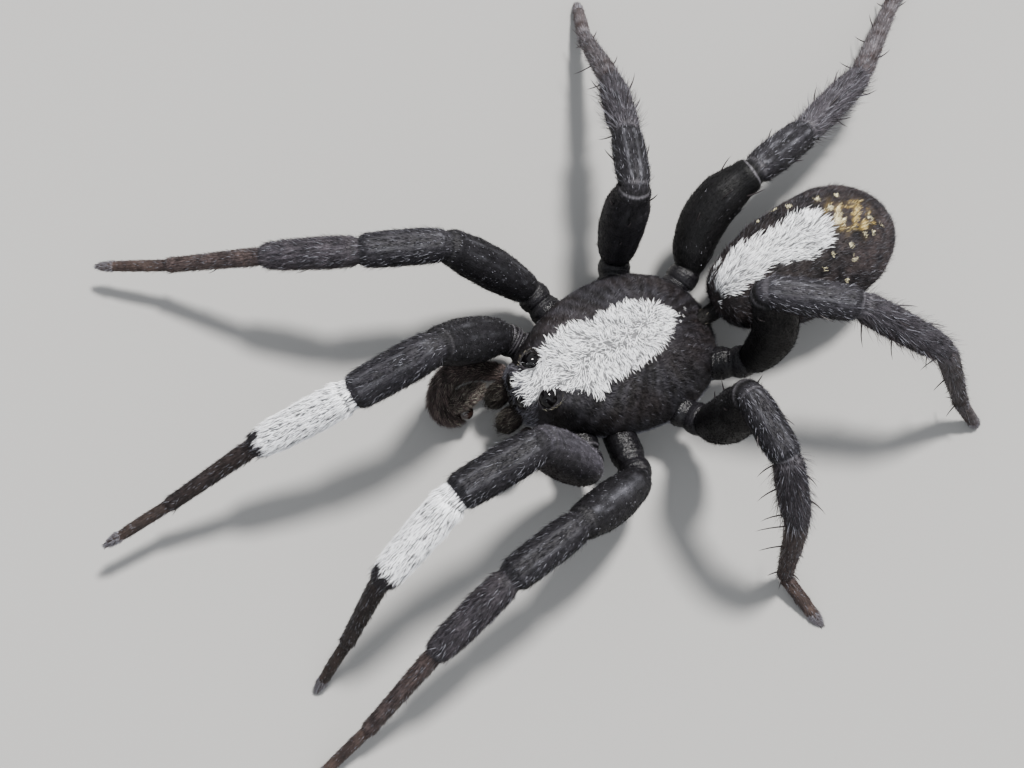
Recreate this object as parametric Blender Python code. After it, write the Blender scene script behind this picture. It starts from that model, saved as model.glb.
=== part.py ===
# Life-size still model of a male wolf spider, Arctosa ipsa, in a standing pose.
# Metres, +Z up.  The head faces -Y, the spider's left side is +X, and the
# floor it stands on is z = 0.  Each named object is one part of the body, and
# neighbouring parts meet at thin cuts.
import bpy
import bmesh
import math
from mathutils import Vector

MM = 0.001
GAP = 0.03            # width of the cut between two parts, mm
FLOOR = 0.0
CENTRE = (-0.544, 0.227)      # middle of the stance, which sits on the origin, mm

# ---------------------------------------------------------------- body sizes
# (mm)  The prosoma turns a little to the spider's right on its stalk.
CARAPACE_LENGTH = 4.0
CARAPACE_WIDTH = 3.06
CARAPACE_HEIGHT = 0.92        # crown of the carapace above its rim
RIM_Z = 1.06                  # rim of the carapace above the floor
STERNUM_Z = 0.58              # underside between the coxae
PROSOMA_YAW = math.radians(-5.8)
PROSOMA_PIVOT = (0.10, 1.95)  # the stalk
ABDOMEN_LENGTH = 4.05
ABDOMEN_WIDTH = 2.30
ABDOMEN_HEIGHT = 2.14
ABDOMEN_Z = 1.42              # height of its middle
ABDOMEN_X = 0.03
ABDOMEN_FRONT_Y = 2.06

# ---------------------------------------------------------------- leg design
# Lengths of femur, patella, tibia, metatarsus and tarsus, mm.
LEG_LENGTHS = {
    1: (2.98, 1.68, 2.03, 1.97, 1.30),
    2: (2.40, 1.56, 1.85, 2.08, 1.38),
    3: (2.65, 1.28, 1.64, 2.18, 1.20),
    4: (2.60, 1.68, 2.11, 2.39, 0.85),
}
# Solid radii, out to the tips of the coat: trochanter, mid femur, femur end,
# patella middle, patella end, tibia middle, tibia end, metatarsus end, toe.
LEG_RADII = {
    1: (0.34, 0.47, 0.40, 0.395, 0.37, 0.355, 0.30, 0.25, 0.23),
    2: (0.34, 0.44, 0.38, 0.365, 0.34, 0.325, 0.29, 0.25, 0.23),
    3: (0.34, 0.44, 0.37, 0.345, 0.32, 0.320, 0.28, 0.25, 0.23),
    4: (0.35, 0.46, 0.38, 0.365, 0.34, 0.330, 0.29, 0.25, 0.23),
}
# Pose of each leg: foot of the femur (x, y, z in mm), then for the five
# segments the heading (degrees back from straight sideways) and the rise
# (degrees above level), the chord of the bowed femur as a share of its length,
# and how far the femur bows at its middle (x, y, z in mm).
LEG_POSE = {
    "L1": ((1.52, -1.47, 1.11), (-109, -88, -73, -64, -66), (65, -2, -28, -63, -49), 1.0, (0, 0, 0)),
    "R1": ((-1.52, -1.54, 0.98), (-97, -88, -84, -89, -92), (55, -14, -24, -31, -11), 1.0, (0, 0, 0)),
    "L2": ((2.12, -0.78, 1.14), (-78, -82, -76, -74, -78), (42, -2, -19, -42, -28), 1.0, (0.04, 0, 0.05)),
    "R2": ((-2.06, -0.64, 0.97), (-53, -67, -57, -54, -56), (46, 2, -20, -32, -17), 1.0, (0, 0, 0.06)),
    "L3": ((1.84, 0.87, 1.22), (14, -1, -1, -4, 11), (84, -3, -54, -75, -18), 1.0, (0.16, 0, 0)),
    "R3": ((-1.81, 1.15, 0.96), (33, 27, 25, 21, 27), (77.2, -18, -28, -41.7, -29.5), 0.88, (-0.06, 0, 0)),
    "L4": ((1.22, 2.26, 1.20), (0, 52, 44, 39, 38), (103, 3, -26, -64, -51), 0.98, (0.18, 0.27, 0)),
    "R4": ((-0.93, 2.26, 1.00), (65, 77, 72, 56, 68), (32.5, -20, -14.2, -18.5, -16), 0.865, (-0.24, -0.17, 0.06)),
}
# These femora swell more than their fellows.
FEMUR_SWELL = {"L3": 1.12, "R3": 1.08, "R4": 1.08}
# Where each coxa leaves the underside: sideways and along the prosoma, mm.
COXA_ROOT = {1: (0.48, -1.05), 2: (0.60, -0.42), 3: (0.60, 0.28), 4: (0.45, 0.95)}
COXA_RADIUS = 0.33
TROCHANTER_LENGTH = 0.34
SIDES = 10

# ---------------------------------------------------------------- eyes
# In the prosoma's own frame: sideways, along, up, radius (mm).
EYES = {
    "posterior_lateral": (0.36, -1.60, 1.83, 0.185),
    "posterior_median": (0.20, -1.94, 1.62, 0.175),
    "anterior_lateral": (0.27, -2.045, 1.33, 0.070),
    "anterior_median": (0.095, -2.075, 1.36, 0.085),
}

# ---------------------------------------------------------------- materials
BLACK_VELVET = (0.018, 0.018, 0.022)
BROWN_BLACK = (0.045, 0.032, 0.028)
CHARCOAL = (0.040, 0.038, 0.036)
WHITE_HAIR = (0.72, 0.72, 0.76)
GLASSY_BLACK = (0.010, 0.009, 0.009)


# ================================================================ helpers
def clear_scene():
    for ob in list(bpy.data.objects):
        bpy.data.objects.remove(ob, do_unlink=True)


def make_material(name, color, roughness):
    mat = bpy.data.materials.new(name)
    mat.use_nodes = True
    shader = mat.node_tree.nodes["Principled BSDF"]
    shader.inputs["Base Color"].default_value = (*color, 1.0)
    shader.inputs["Roughness"].default_value = roughness
    shader.inputs["Metallic"].default_value = 0.0
    mat.diffuse_color = (*color, 1.0)
    return mat


def to_object(bm, name, collection, mat):
    bmesh.ops.recalc_face_normals(bm, faces=bm.faces)
    mesh = bpy.data.meshes.new(name)
    bm.to_mesh(mesh)
    bm.free()
    ob = bpy.data.objects.new(name, mesh)
    collection.objects.link(ob)
    if mat is not None:
        mesh.materials.append(mat)
    mesh.shade_smooth()
    return ob


def place(p):
    """A design point in mm, as a place in the model in metres."""
    return Vector((p[0] - CENTRE[0], p[1] - CENTRE[1], p[2])) * MM


def loft(sections, name, collection, mat, floor=None):
    """Skin a row of closed sections, each a list of points (mm), and cap both
    ends.  With a floor, what would reach below it lies flat on it."""
    bm = bmesh.new()
    rings = []
    for pts in sections:
        ring = []
        for p in pts:
            z = p[2] if floor is None else max(p[2], floor)
            ring.append(bm.verts.new(place((p[0], p[1], z))))
        rings.append(ring)
    n = len(rings[0])
    for a, b in zip(rings[:-1], rings[1:]):
        for i in range(n):
            bm.faces.new((a[i], a[(i + 1) % n], b[(i + 1) % n], b[i]))
    bm.faces.new(list(reversed(rings[0])))
    bm.faces.new(rings[-1])
    return to_object(bm, name, collection, mat)


def ring_points(center, normal, side, half_side, half_up, sides=SIDES):
    """An ellipse square to normal; side is its level axis."""
    n = normal.normalized()
    s = (side - n * side.dot(n)).normalized()
    u = n.cross(s)
    pts = []
    for k in range(sides):
        a = 2 * math.pi * (k + 0.5) / sides
        pts.append(center + s * (half_side * math.cos(a)) + u * (half_up * math.sin(a)))
    return pts


def cut_away(target, cutter):
    """Take the cutter's space out of the target."""
    mod = target.modifiers.new("cut_" + cutter.name, "BOOLEAN")
    mod.operation = "DIFFERENCE"
    mod.object = cutter
    cutter.hide_render = True
    cutter.display_type = "WIRE"


def join_with(target, other):
    mod = target.modifiers.new("join_" + other.name, "BOOLEAN")
    mod.operation = "UNION"
    mod.object = other
    other.hide_render = True
    other.display_type = "WIRE"


def smooth_profile(table, t):
    """Value of a named profile at t, eased between its stations."""
    if t <= table[0][0]:
        return table[0][1]
    for (t0, v0), (t1, v1) in zip(table[:-1], table[1:]):
        if t <= t1:
            f = (t - t0) / (t1 - t0)
            return v0 + (v1 - v0) * f
    return table[-1][1]


# ================================================================ legs
def heading_vector(side, heading, rise):
    a = math.radians(heading)
    e = math.radians(rise)
    return Vector((side * math.cos(a) * math.cos(e), math.sin(a) * math.cos(e), math.sin(e)))


def leg_joints(key):
    """Joint points of a leg, from the foot of the femur to the toe tip."""
    base, headings, rises, chord, bow = LEG_POSE[key]
    side = 1 if key[0] == "L" else -1
    pts = [Vector(base)]
    dirs = []
    lengths = list(LEG_LENGTHS[int(key[1])])
    lengths[0] *= chord
    for length, heading, rise in zip(lengths, headings, rises):
        d = heading_vector(side, heading, rise)
        dirs.append(d)
        pts.append(pts[-1] + d * length)
    return pts, dirs


def prosoma_point(x, y, z):
    """A point of the prosoma's own frame, turned about the stalk (mm)."""
    c, s = math.cos(PROSOMA_YAW), math.sin(PROSOMA_YAW)
    dy = y - PROSOMA_PIVOT[1]
    return Vector((PROSOMA_PIVOT[0] + c * x - s * dy, PROSOMA_PIVOT[1] + s * x + c * dy, z))


def coxa_path(key):
    """Root and end of a coxa: it runs out and up from the underside."""
    side = 1 if key[0] == "L" else -1
    rx, ry = COXA_ROOT[int(key[1])]
    root = prosoma_point(side * rx, ry, STERNUM_Z + COXA_RADIUS * 0.75)
    foot = Vector(LEG_POSE[key][0])
    out = foot - root
    out.z *= 0.6
    out.normalize()
    end = foot - out * TROCHANTER_LENGTH
    end.z -= 0.06
    return root, end, (end - root).normalized()


def tube_rings(points, side_axis):
    """Sections along a row of (centre, half width, half height, normal)."""
    return [ring_points(c, n, side_axis, a, b) for c, a, b, n in points]


def joint_normals(dirs):
    out = []
    for a, b in zip(dirs[:-1], dirs[1:]):
        out.append((a + b).normalized())
    return out


def bent_run(p0, p1, n0, n1, d, radii, bend=0.30):
    """Rows along a limb segment from p0 to p1.  Its ends turn to the cut
    planes n0 and n1, and radii gives (position 0..1, half width, half height)."""
    length = (p1 - p0).length
    rows = []
    for t, a, b in radii:
        c = p0.lerp(p1, t)
        s0 = t * length
        s1 = (1 - t) * length
        n = d.copy()
        if s0 < bend:
            n = n0.lerp(d, s0 / bend).normalized()
        elif s1 < bend:
            n = n1.lerp(d, s1 / bend).normalized()
        rows.append((c, a, b, n))
    return rows


def build_leg(key, collection, mats):
    number = int(key[1])
    side = 1 if key[0] == "L" else -1
    pts, dirs = leg_joints(key)
    r_troch, r_fem, r_fem_end, r_pat, r_pat_end, r_tib, r_tib_end, r_met, r_toe = LEG_RADII[number]
    r_fem *= FEMUR_SWELL.get(key, 1.0)
    name = "leg_%s%d" % ("left_" if side > 0 else "right_", number)
    root, coxa_end, coxa_dir = coxa_path(key)
    normals = joint_normals(dirs)
    g = GAP / 2

    def level_axis(i):
        heading = math.radians(LEG_POSE[key][1][i])
        return Vector((-math.sin(heading) * side, math.cos(heading), 0.0))

    # femur, with the trochanter it turns on
    start = coxa_end + coxa_dir * GAP
    elbow = pts[0]
    fem_end = pts[1] - normals[0] * g
    d = dirs[0]
    n_start = coxa_dir
    n_elbow = (coxa_dir + d).normalized()
    rows = [
        (start, r_troch * 0.96, r_troch * 0.96, n_start),
        (start.lerp(elbow, 0.45), r_troch, r_troch, n_start.lerp(n_elbow, 0.5).normalized()),
        (elbow, r_troch * 1.02, r_troch * 1.02, n_elbow),
    ]
    for c, a, b, n in bent_run(elbow, fem_end, n_elbow, normals[0], d,
                               ((0.15, r_fem * 0.82, r_fem * 0.82),
                                (0.38, r_fem, r_fem * 1.02),
                                (0.66, r_fem * 0.99, r_fem),
                                (0.87, r_fem_end * 1.04, r_fem_end * 1.05),
                                (1.0, r_fem_end * 0.93, r_fem_end * 0.93)), bend=0.62):
        t = (c - elbow).length / (fem_end - elbow).length
        rows.append((c + Vector(LEG_POSE[key][4]) * math.sin(math.pi * t), a, b, n))
    axis = level_axis(0)
    femur = loft(tube_rings(rows, axis), name + "_femur", collection, mats["velvet"])

    # patella
    p0 = pts[1] + normals[0] * g
    p1 = pts[2] - normals[1] * g
    rows = bent_run(p0, p1, normals[0], normals[1], dirs[1],
                    ((0.0, r_fem_end * 0.90, r_fem_end * 0.90),
                     (0.22, r_pat * 1.00, r_pat * 1.00),
                     (0.62, r_pat, r_pat),
                     (1.0, r_pat_end * 0.94, r_pat_end * 0.94)), bend=0.45)
    patella = loft(tube_rings(rows, level_axis(1)), name + "_patella", collection, mats["velvet"])

    # tibia: white on the first pair
    p0 = pts[2] + normals[1] * g
    p1 = pts[3] - normals[2] * g
    rows = bent_run(p0, p1, normals[1], normals[2], dirs[2],
                    ((0.0, r_pat_end * 0.92, r_pat_end * 0.92),
                     (0.25, r_tib * 1.02, r_tib * 1.02),
                     (0.65, r_tib, r_tib),
                     (1.0, r_tib_end * 0.95, r_tib_end * 0.95)), bend=0.35)
    tibia = loft(tube_rings(rows, level_axis(2)), name + "_tibia", collection,
                 mats["white"] if number == 1 else mats["velvet"])

    # metatarsus
    p0 = pts[3] + normals[2] * g
    p1 = pts[4] - normals[3] * g
    rows = bent_run(p0, p1, normals[2], normals[3], dirs[3],
                    ((0.0, r_tib_end * 0.92, r_tib_end * 0.92),
                     (0.25, r_tib_end * 0.92, r_tib_end * 0.92),
                     (1.0, r_met, r_met)), bend=0.30)
    meta = loft(tube_rings(rows, level_axis(3)), name + "_metatarsus", collection,
                mats["brown"], floor=FLOOR)

    # tarsus, standing on a small flat where it reaches the floor
    p0 = pts[4] + normals[3] * g
    p1 = pts[5]
    rows = bent_run(p0, p1, normals[3], dirs[4], dirs[4],
                    ((0.0, r_met, r_met),
                     (0.35, r_met * 0.98, r_met * 0.98),
                     (0.75, r_toe, r_toe),
                     (0.94, r_toe * 0.86, r_toe * 0.86),
                     (1.0, r_toe * 0.50, r_toe * 0.50)), bend=0.25)
    tarsus = loft(tube_rings(rows, level_axis(4)), name + "_tarsus", collection,
                  mats["brown"], floor=FLOOR)
    return femur, (patella, tibia, meta, tarsus)


# ================================================================ prosoma
CARAPACE_HALF_WIDTH = (
    (-2.02, 0.50), (-1.92, 0.60), (-1.70, 0.74), (-1.40, 0.95), (-1.05, 1.18),
    (-0.60, 1.40), (0.00, 1.52), (0.55, 1.53), (1.05, 1.41), (1.45, 1.20),
    (1.75, 0.94), (1.93, 0.62), (1.98, 0.45),
)
CARAPACE_CROWN = (          # crown height as a share of CARAPACE_HEIGHT
    (-2.02, 0.66), (-1.92, 0.84), (-1.70, 0.93), (-1.40, 0.98), (-1.05, 0.97),
    (-0.60, 0.98), (0.00, 1.00), (0.55, 0.98), (1.05, 0.86), (1.45, 0.64),
    (1.75, 0.40), (1.93, 0.20), (1.98, 0.10),
)
CARAPACE_ARCH = 9           # points over the top of each section


def prosoma_sections():
    sections = []
    for y, w in CARAPACE_HALF_WIDTH:
        crown = CARAPACE_HEIGHT * smooth_profile(CARAPACE_CROWN, y)
        # the head is narrow and steep-sided, the thorax a wide low dome
        steep = 0.62 if y < -1.2 else 0.62 + 0.38 * min(1.0, (y + 1.2) / 1.2)
        pts = []
        for k in range(CARAPACE_ARCH):
            a = math.pi * k / (CARAPACE_ARCH - 1)
            x = w * math.copysign(abs(math.cos(a)) ** steep, math.cos(a))
            z = RIM_Z + crown * math.sin(a) ** (0.90 if y < -1.2 else 1.0)
            pts.append(prosoma_point(x, y, z))
        # underside, in to the sternum
        depth = (RIM_Z - STERNUM_Z) * (1.0 if -1.5 < y < 1.3 else 0.45)
        inner = w * 0.58
        for x, z in ((-w * 0.93, RIM_Z - 0.10), (-inner, RIM_Z - depth), (0.0, RIM_Z - depth * 1.06),
                     (inner, RIM_Z - depth), (w * 0.93, RIM_Z - 0.10)):
            pts.append(prosoma_point(x, y, z))
        sections.append(pts)
    return sections


def build_prosoma(collection, cutters, mats):
    body = loft(prosoma_sections(), "prosoma", collection, mats["velvet"])
    # coxae grow from the underside, and the stalk from the rear end
    for key in LEG_POSE:
        root, end, direction = coxa_path(key)
        start = root - direction * 0.05
        rows = [(start.lerp(end, t), COXA_RADIUS * k, COXA_RADIUS * k, direction)
                for t, k in ((0.0, 0.80), (0.45, 1.0), (0.85, 1.02), (1.0, 0.96))]
        coxa = loft([ring_points(c, n, Vector((direction.y, -direction.x, 0)), a, b, 8)
                     for c, a, b, n in rows], "coxa_" + key, cutters, None)
        join_with(body, coxa)
    stalk_rows = []
    for y, r in ((1.40, 0.20), (2.02, 0.22)):
        stalk_rows.append(ring_points(Vector((0.08, y, 1.18)), Vector((0, 1, 0)), Vector((1, 0, 0)), r, r, 8))
    join_with(body, loft(stalk_rows, "stalk", cutters, None))
    return body


# ================================================================ abdomen
ABDOMEN_PROFILE = (       # share of length, share of half width
    (0.000, 0.26), (0.030, 0.44), (0.085, 0.60), (0.20, 0.80), (0.36, 0.93), (0.54, 1.00),
    (0.70, 0.985), (0.82, 0.88), (0.91, 0.68), (0.965, 0.44), (0.995, 0.20),
)


def build_abdomen(collection, mats):
    sections = []
    for t, f in ABDOMEN_PROFILE:
        y = ABDOMEN_FRONT_Y + t * ABDOMEN_LENGTH
        a = ABDOMEN_WIDTH / 2 * f
        b = ABDOMEN_HEIGHT / 2 * f
        # the front rides higher over the stalk, and the tail tips down
        z = ABDOMEN_Z + 0.20 * max(0.0, 1 - t / 0.35) - 0.10 * max(0.0, (t - 0.75) / 0.25)
        pts = []
        for k in range(16):
            ang = 2 * math.pi * (k + 0.5) / 16
            pts.append(Vector((ABDOMEN_X + a * math.cos(ang), y, z + b * math.sin(ang))))
        sections.append(pts)
    return loft(sections, "abdomen", collection, mats["charcoal"])


SPINNERETS = ((5.74, 0.90, 0.16), (5.88, 0.86, 0.24), (6.04, 0.80, 0.25), (6.17, 0.74, 0.21), (6.25, 0.70, 0.12))


def build_spinnerets(abdomen, collection, cutters, mats):
    """The group of spinnerets, set in a socket under the overhanging tail."""
    made = []
    for name, grow, where, mat in (("spinnerets", 0.0, collection, mats["brown"]),
                                   ("spinneret_socket", GAP, cutters, None)):
        rows = []
        for y, z, r in SPINNERETS:
            rows.append(ring_points(Vector((ABDOMEN_X, y - (grow if y < 5.8 else -grow), z)), Vector((0, 1, -0.35)),
                                    Vector((1, 0, 0)), r * 1.15 + grow, r * 0.85 + grow, 10))
        made.append(loft(rows, name, where, mat))
    cut_away(abdomen, made[1])


# ================================================================ face
def build_eyes(body, collection, cutters, mats):
    for label, (x, y, z, r) in EYES.items():
        for side, word in ((1, "left"), (-1, "right")):
            at = place(prosoma_point(side * x, y, z))
            for kind, radius in (("eye", r), ("socket", r + GAP)):
                bm = bmesh.new()
                bmesh.ops.create_icosphere(bm, subdivisions=2 if r > 0.1 else 1, radius=radius * MM)
                if kind == "eye":
                    ob = to_object(bm, "eye_%s_%s" % (label, word), collection, mats["eye"])
                else:
                    ob = to_object(bm, "socket_%s_%s" % (label, word), cutters, None)
                    cut_away(body, ob)
                ob.location = at


def build_chelicera(side, word, collection, mats):
    """One jaw: it hangs from the face, broad above, and its tooth folds in
    under its end."""
    rows = []
    for y, z, a, b in ((-2.17, 1.20, 0.20, 0.10), (-2.22, 1.08, 0.230, 0.16),
                       (-2.25, 0.86, 0.240, 0.195), (-2.24, 0.62, 0.220, 0.195),
                       (-2.19, 0.44, 0.160, 0.150)):
        c = prosoma_point(side * 0.262, y - 0.02, z)
        rows.append(ring_points(c, Vector((0, -0.12, -1.0)), Vector((1, 0, 0)), a, b, 10))
    return loft(rows, "chelicera_" + word, collection, mats["brown"])


# Palps: points (sideways, along, up) in the prosoma's frame with radii, mm.
# The right one reaches forward, the left one is folded closer to the jaws.
PALP_LIMB = {
    "right": ((0.70, -2.06, 0.84, 0.19), (0.80, -2.32, 0.96, 0.23), (0.91, -2.66, 1.06, 0.25),
              (0.94, -2.98, 1.04, 0.26), (0.85, -3.16, 0.92, 0.27)),
    "left": ((0.72, -2.06, 0.84, 0.19), (0.82, -2.18, 0.88, 0.22), (0.90, -2.32, 0.86, 0.24),
             (0.92, -2.48, 0.78, 0.25), (0.88, -2.60, 0.68, 0.26)),
}
PALP_CLUB = {
    "right": ((0.76, -3.22, 0.80, 0.27), (0.61, -3.27, 0.65, 0.31), (0.45, -3.22, 0.52, 0.31),
              (0.29, -3.10, 0.42, 0.25), (0.19, -3.00, 0.37, 0.13)),
    "left": ((0.84, -2.68, 0.60, 0.26), (0.74, -2.77, 0.50, 0.28), (0.62, -2.80, 0.42, 0.27),
             (0.50, -2.78, 0.35, 0.20), (0.42, -2.75, 0.31, 0.12)),
}


# The right club folds back along the inside of its limb, towards the jaws.
PALP_LOBE = {
    "right": ((0.50, -2.45, 0.96, 0.06), (0.49, -2.51, 0.95, 0.13), (0.47, -2.61, 0.92, 0.175), (0.45, -2.75, 0.88, 0.20),
              (0.44, -2.88, 0.83, 0.205), (0.44, -3.00, 0.75, 0.16), (0.46, -3.08, 0.68, 0.09)),
}
# The glossy bulb on the inner side of each club: centre and half sizes, mm.
PALP_BULB = {"right": ((0.27, -2.85, 0.62), (0.18, 0.165, 0.15)), "left": ((0.69, -2.46, 0.36), (0.17, 0.17, 0.15))}


def build_palp(side, word, collection, cutters, mats):
    """The limb of a palp, the swollen club at its end and the bulb on it."""
    limb_pts = [prosoma_point(side * x, y, z) for x, y, z, r in PALP_LIMB[word]]
    club_pts = [prosoma_point(side * x, y, z) for x, y, z, r in PALP_CLUB[word]]
    across = (club_pts[0] - limb_pts[-1]).normalized()
    club_pts[0] = limb_pts[-1] + across * GAP
    up = Vector((0.3, 0.2, 1.0))
    sets = (("limb", limb_pts, PALP_LIMB[word], 0.0, collection), ("club", club_pts, PALP_CLUB[word], 0.0, collection),
            ("club_socket", club_pts, PALP_CLUB[word], GAP, cutters), ("limb_socket", limb_pts, PALP_LIMB[word], GAP, cutters))
    made = {}
    for kind, pts, table, grow, where in sets:
        rings = []
        for i, row in enumerate(table):
            n = (pts[min(len(pts) - 1, i + 1)] - pts[max(0, i - 1)]).normalized()
            c = pts[i]
            if (kind.startswith("limb") and i == len(pts) - 1) or (kind.startswith("club") and i == 0):
                n = across
            if i == len(pts) - 1:
                c = c + n * grow
            rings.append(ring_points(c, n, up, row[3] + grow, row[3] + grow, SIDES))
        made[kind] = loft(rings, "palp_%s_%s" % (word, kind), where, mats["brown"] if grow == 0 else None)
    if word in PALP_LOBE:
        table = PALP_LOBE[word]
        pts = [prosoma_point(side * x, y, z) for x, y, z, r in table]
        for grow in (0.0, GAP):
            rings = []
            for i, (c, row) in enumerate(zip(pts, table)):
                n = (pts[min(len(pts) - 1, i + 1)] - pts[max(0, i - 1)]).normalized()
                c = c + n * (grow if i == len(pts) - 1 else -grow if i == 0 else 0.0)
                rings.append(ring_points(c, n, up, row[3] + grow, row[3] + grow, SIDES))
            made["lobe_%s" % (grow > 0)] = loft(rings, "palp_%s_lobe%s" % (word, "_socket" if grow else ""), cutters, None)
        join_with(made["club"], made["lobe_False"])
    (x, y, z), half = PALP_BULB[word]
    bm = bmesh.new()
    bmesh.ops.create_icosphere(bm, subdivisions=2, radius=MM)
    bmesh.ops.scale(bm, vec=Vector(half), verts=bm.verts)
    bulb = to_object(bm, "palp_%s_bulb" % word, collection, mats["brown"])
    bulb.location = place(prosoma_point(side * x, y, z))
    cut_away(bulb, made["club_socket"])
    cut_away(bulb, made["limb_socket"])
    if word in PALP_LOBE:
        cut_away(bulb, made["lobe_True"])


# ================================================================ assembly
def main():
    clear_scene()
    parts = bpy.data.collections.new("arctosa_ipsa")
    cutters = bpy.data.collections.new("cutters")
    bpy.context.scene.collection.children.link(parts)
    bpy.context.scene.collection.children.link(cutters)
    mats = {
        "velvet": make_material("velvet_black", BLACK_VELVET, 0.75),
        "brown": make_material("brown_black", BROWN_BLACK, 0.55),
        "charcoal": make_material("charcoal_hair", CHARCOAL, 0.8),
        "white": make_material("white_hair", WHITE_HAIR, 0.8),
        "eye": make_material("eye_lens", GLASSY_BLACK, 0.12),
    }
    body = build_prosoma(parts, cutters, mats)
    build_eyes(body, parts, cutters, mats)
    for side, word in ((1, "left"), (-1, "right")):
        build_chelicera(side, word, parts, mats)
        build_palp(side, word, parts, cutters, mats)
    abdomen = build_abdomen(parts, mats)
    build_spinnerets(abdomen, parts, cutters, mats)
    for key in LEG_POSE:
        build_leg(key, parts, mats)


main()
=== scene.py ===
# Looks of a life-size still model of a male wolf spider, Arctosa ipsa.
# Sizes here are in millimetres in the design frame of the solids, and place()
# turns them into metres in the model's own frame.
import math

import bpy
import numpy as np
from mathutils import Vector, Matrix


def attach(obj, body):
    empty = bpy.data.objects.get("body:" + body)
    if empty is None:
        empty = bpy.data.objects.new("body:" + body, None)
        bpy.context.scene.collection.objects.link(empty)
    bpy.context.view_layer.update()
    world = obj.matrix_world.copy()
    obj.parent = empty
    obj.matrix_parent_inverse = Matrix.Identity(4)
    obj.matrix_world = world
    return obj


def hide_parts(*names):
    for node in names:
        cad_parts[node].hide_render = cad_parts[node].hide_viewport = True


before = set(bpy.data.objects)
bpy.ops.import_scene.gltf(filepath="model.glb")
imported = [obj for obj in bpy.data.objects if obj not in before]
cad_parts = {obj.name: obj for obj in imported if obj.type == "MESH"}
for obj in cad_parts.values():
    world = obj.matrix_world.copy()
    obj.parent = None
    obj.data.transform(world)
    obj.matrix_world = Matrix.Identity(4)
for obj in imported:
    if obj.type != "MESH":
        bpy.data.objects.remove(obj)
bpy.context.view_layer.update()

CENTRE = np.array((-0.544, 0.227, 0.0))
MM = 0.001
rng = np.random.default_rng(20)


def place(p):
    return (np.asarray(p, float) - CENTRE) * MM


def unit(v):
    return v / np.maximum(np.linalg.norm(v, axis=-1, keepdims=True), 1e-9)


def lerp(a, b, t):
    return a + (b - a) * t


def ease(t):
    t = np.clip(t, 0, 1)
    return t * t * (3 - 2 * t)


def ripple(p, size, seed):
    """Smooth wandering value, about -1 to 1, that changes over `size` mm."""
    g = np.random.default_rng(seed)
    total = 0.0
    for k in range(6):
        d = unit(g.normal(size=3)) * (2 * math.pi / (size * g.uniform(0.7, 1.6)))
        total = total + np.sin(p @ d + g.uniform(0, 6.28))
    return total / 3.0


# ================================================================ surfaces
class Surf:
    """A closed tube-like surface: rings (first index) of points (second)."""

    def __init__(self, name, points, seg=None, t=None):
        self.name = name
        self.P = points
        n, m, _ = points.shape
        self.n, self.m = n, m
        along = np.gradient(points, axis=0)
        around = (np.roll(points, -1, 1) - np.roll(points, 1, 1)) / 2
        normal = np.cross(around, along)
        out = points - points.mean(axis=1, keepdims=True)
        if (normal * out).sum() < 0:
            normal = -normal
            self.flip = True
        else:
            self.flip = False
        self.area = np.linalg.norm(normal, axis=-1)
        self.N = unit(normal)
        self.T = unit(along)
        self.seg = np.zeros(n) if seg is None else np.asarray(seg, float)
        self.t = np.linspace(0, 1, n) if t is None else np.asarray(t, float)

    def sample(self, count, weight=None):
        """Roots spread evenly over the area (mm), with their lie and place."""
        w = (self.area[:-1] + self.area[1:]) / 2
        if weight is not None:
            w = w * weight
        w = w.ravel()
        cell = np.searchsorted(np.cumsum(w) / w.sum(), rng.random(count))
        cell = np.minimum(cell, len(w) - 1)
        i, j = cell // self.m, cell % self.m
        a, b = rng.random(count), rng.random(count)
        j2 = (j + 1) % self.m

        def mix(f):
            A = a.reshape(-1, *([1] * (f.ndim - 2)))
            B = b.reshape(-1, *([1] * (f.ndim - 2)))
            return (f[i, j] * (1 - A) + f[i + 1, j] * A) * (1 - B) + (f[i, j2] * (1 - A) + f[i + 1, j2] * A) * B

        near = np.where(a < 0.5, i, i + 1)
        return {"root": mix(self.P), "n": unit(mix(self.N)), "t": unit(mix(self.T)), "u": (i + a) / (self.n - 1),
                "v": (j + b) / self.m, "seg": self.seg[near], "st": self.t[near]}


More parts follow.
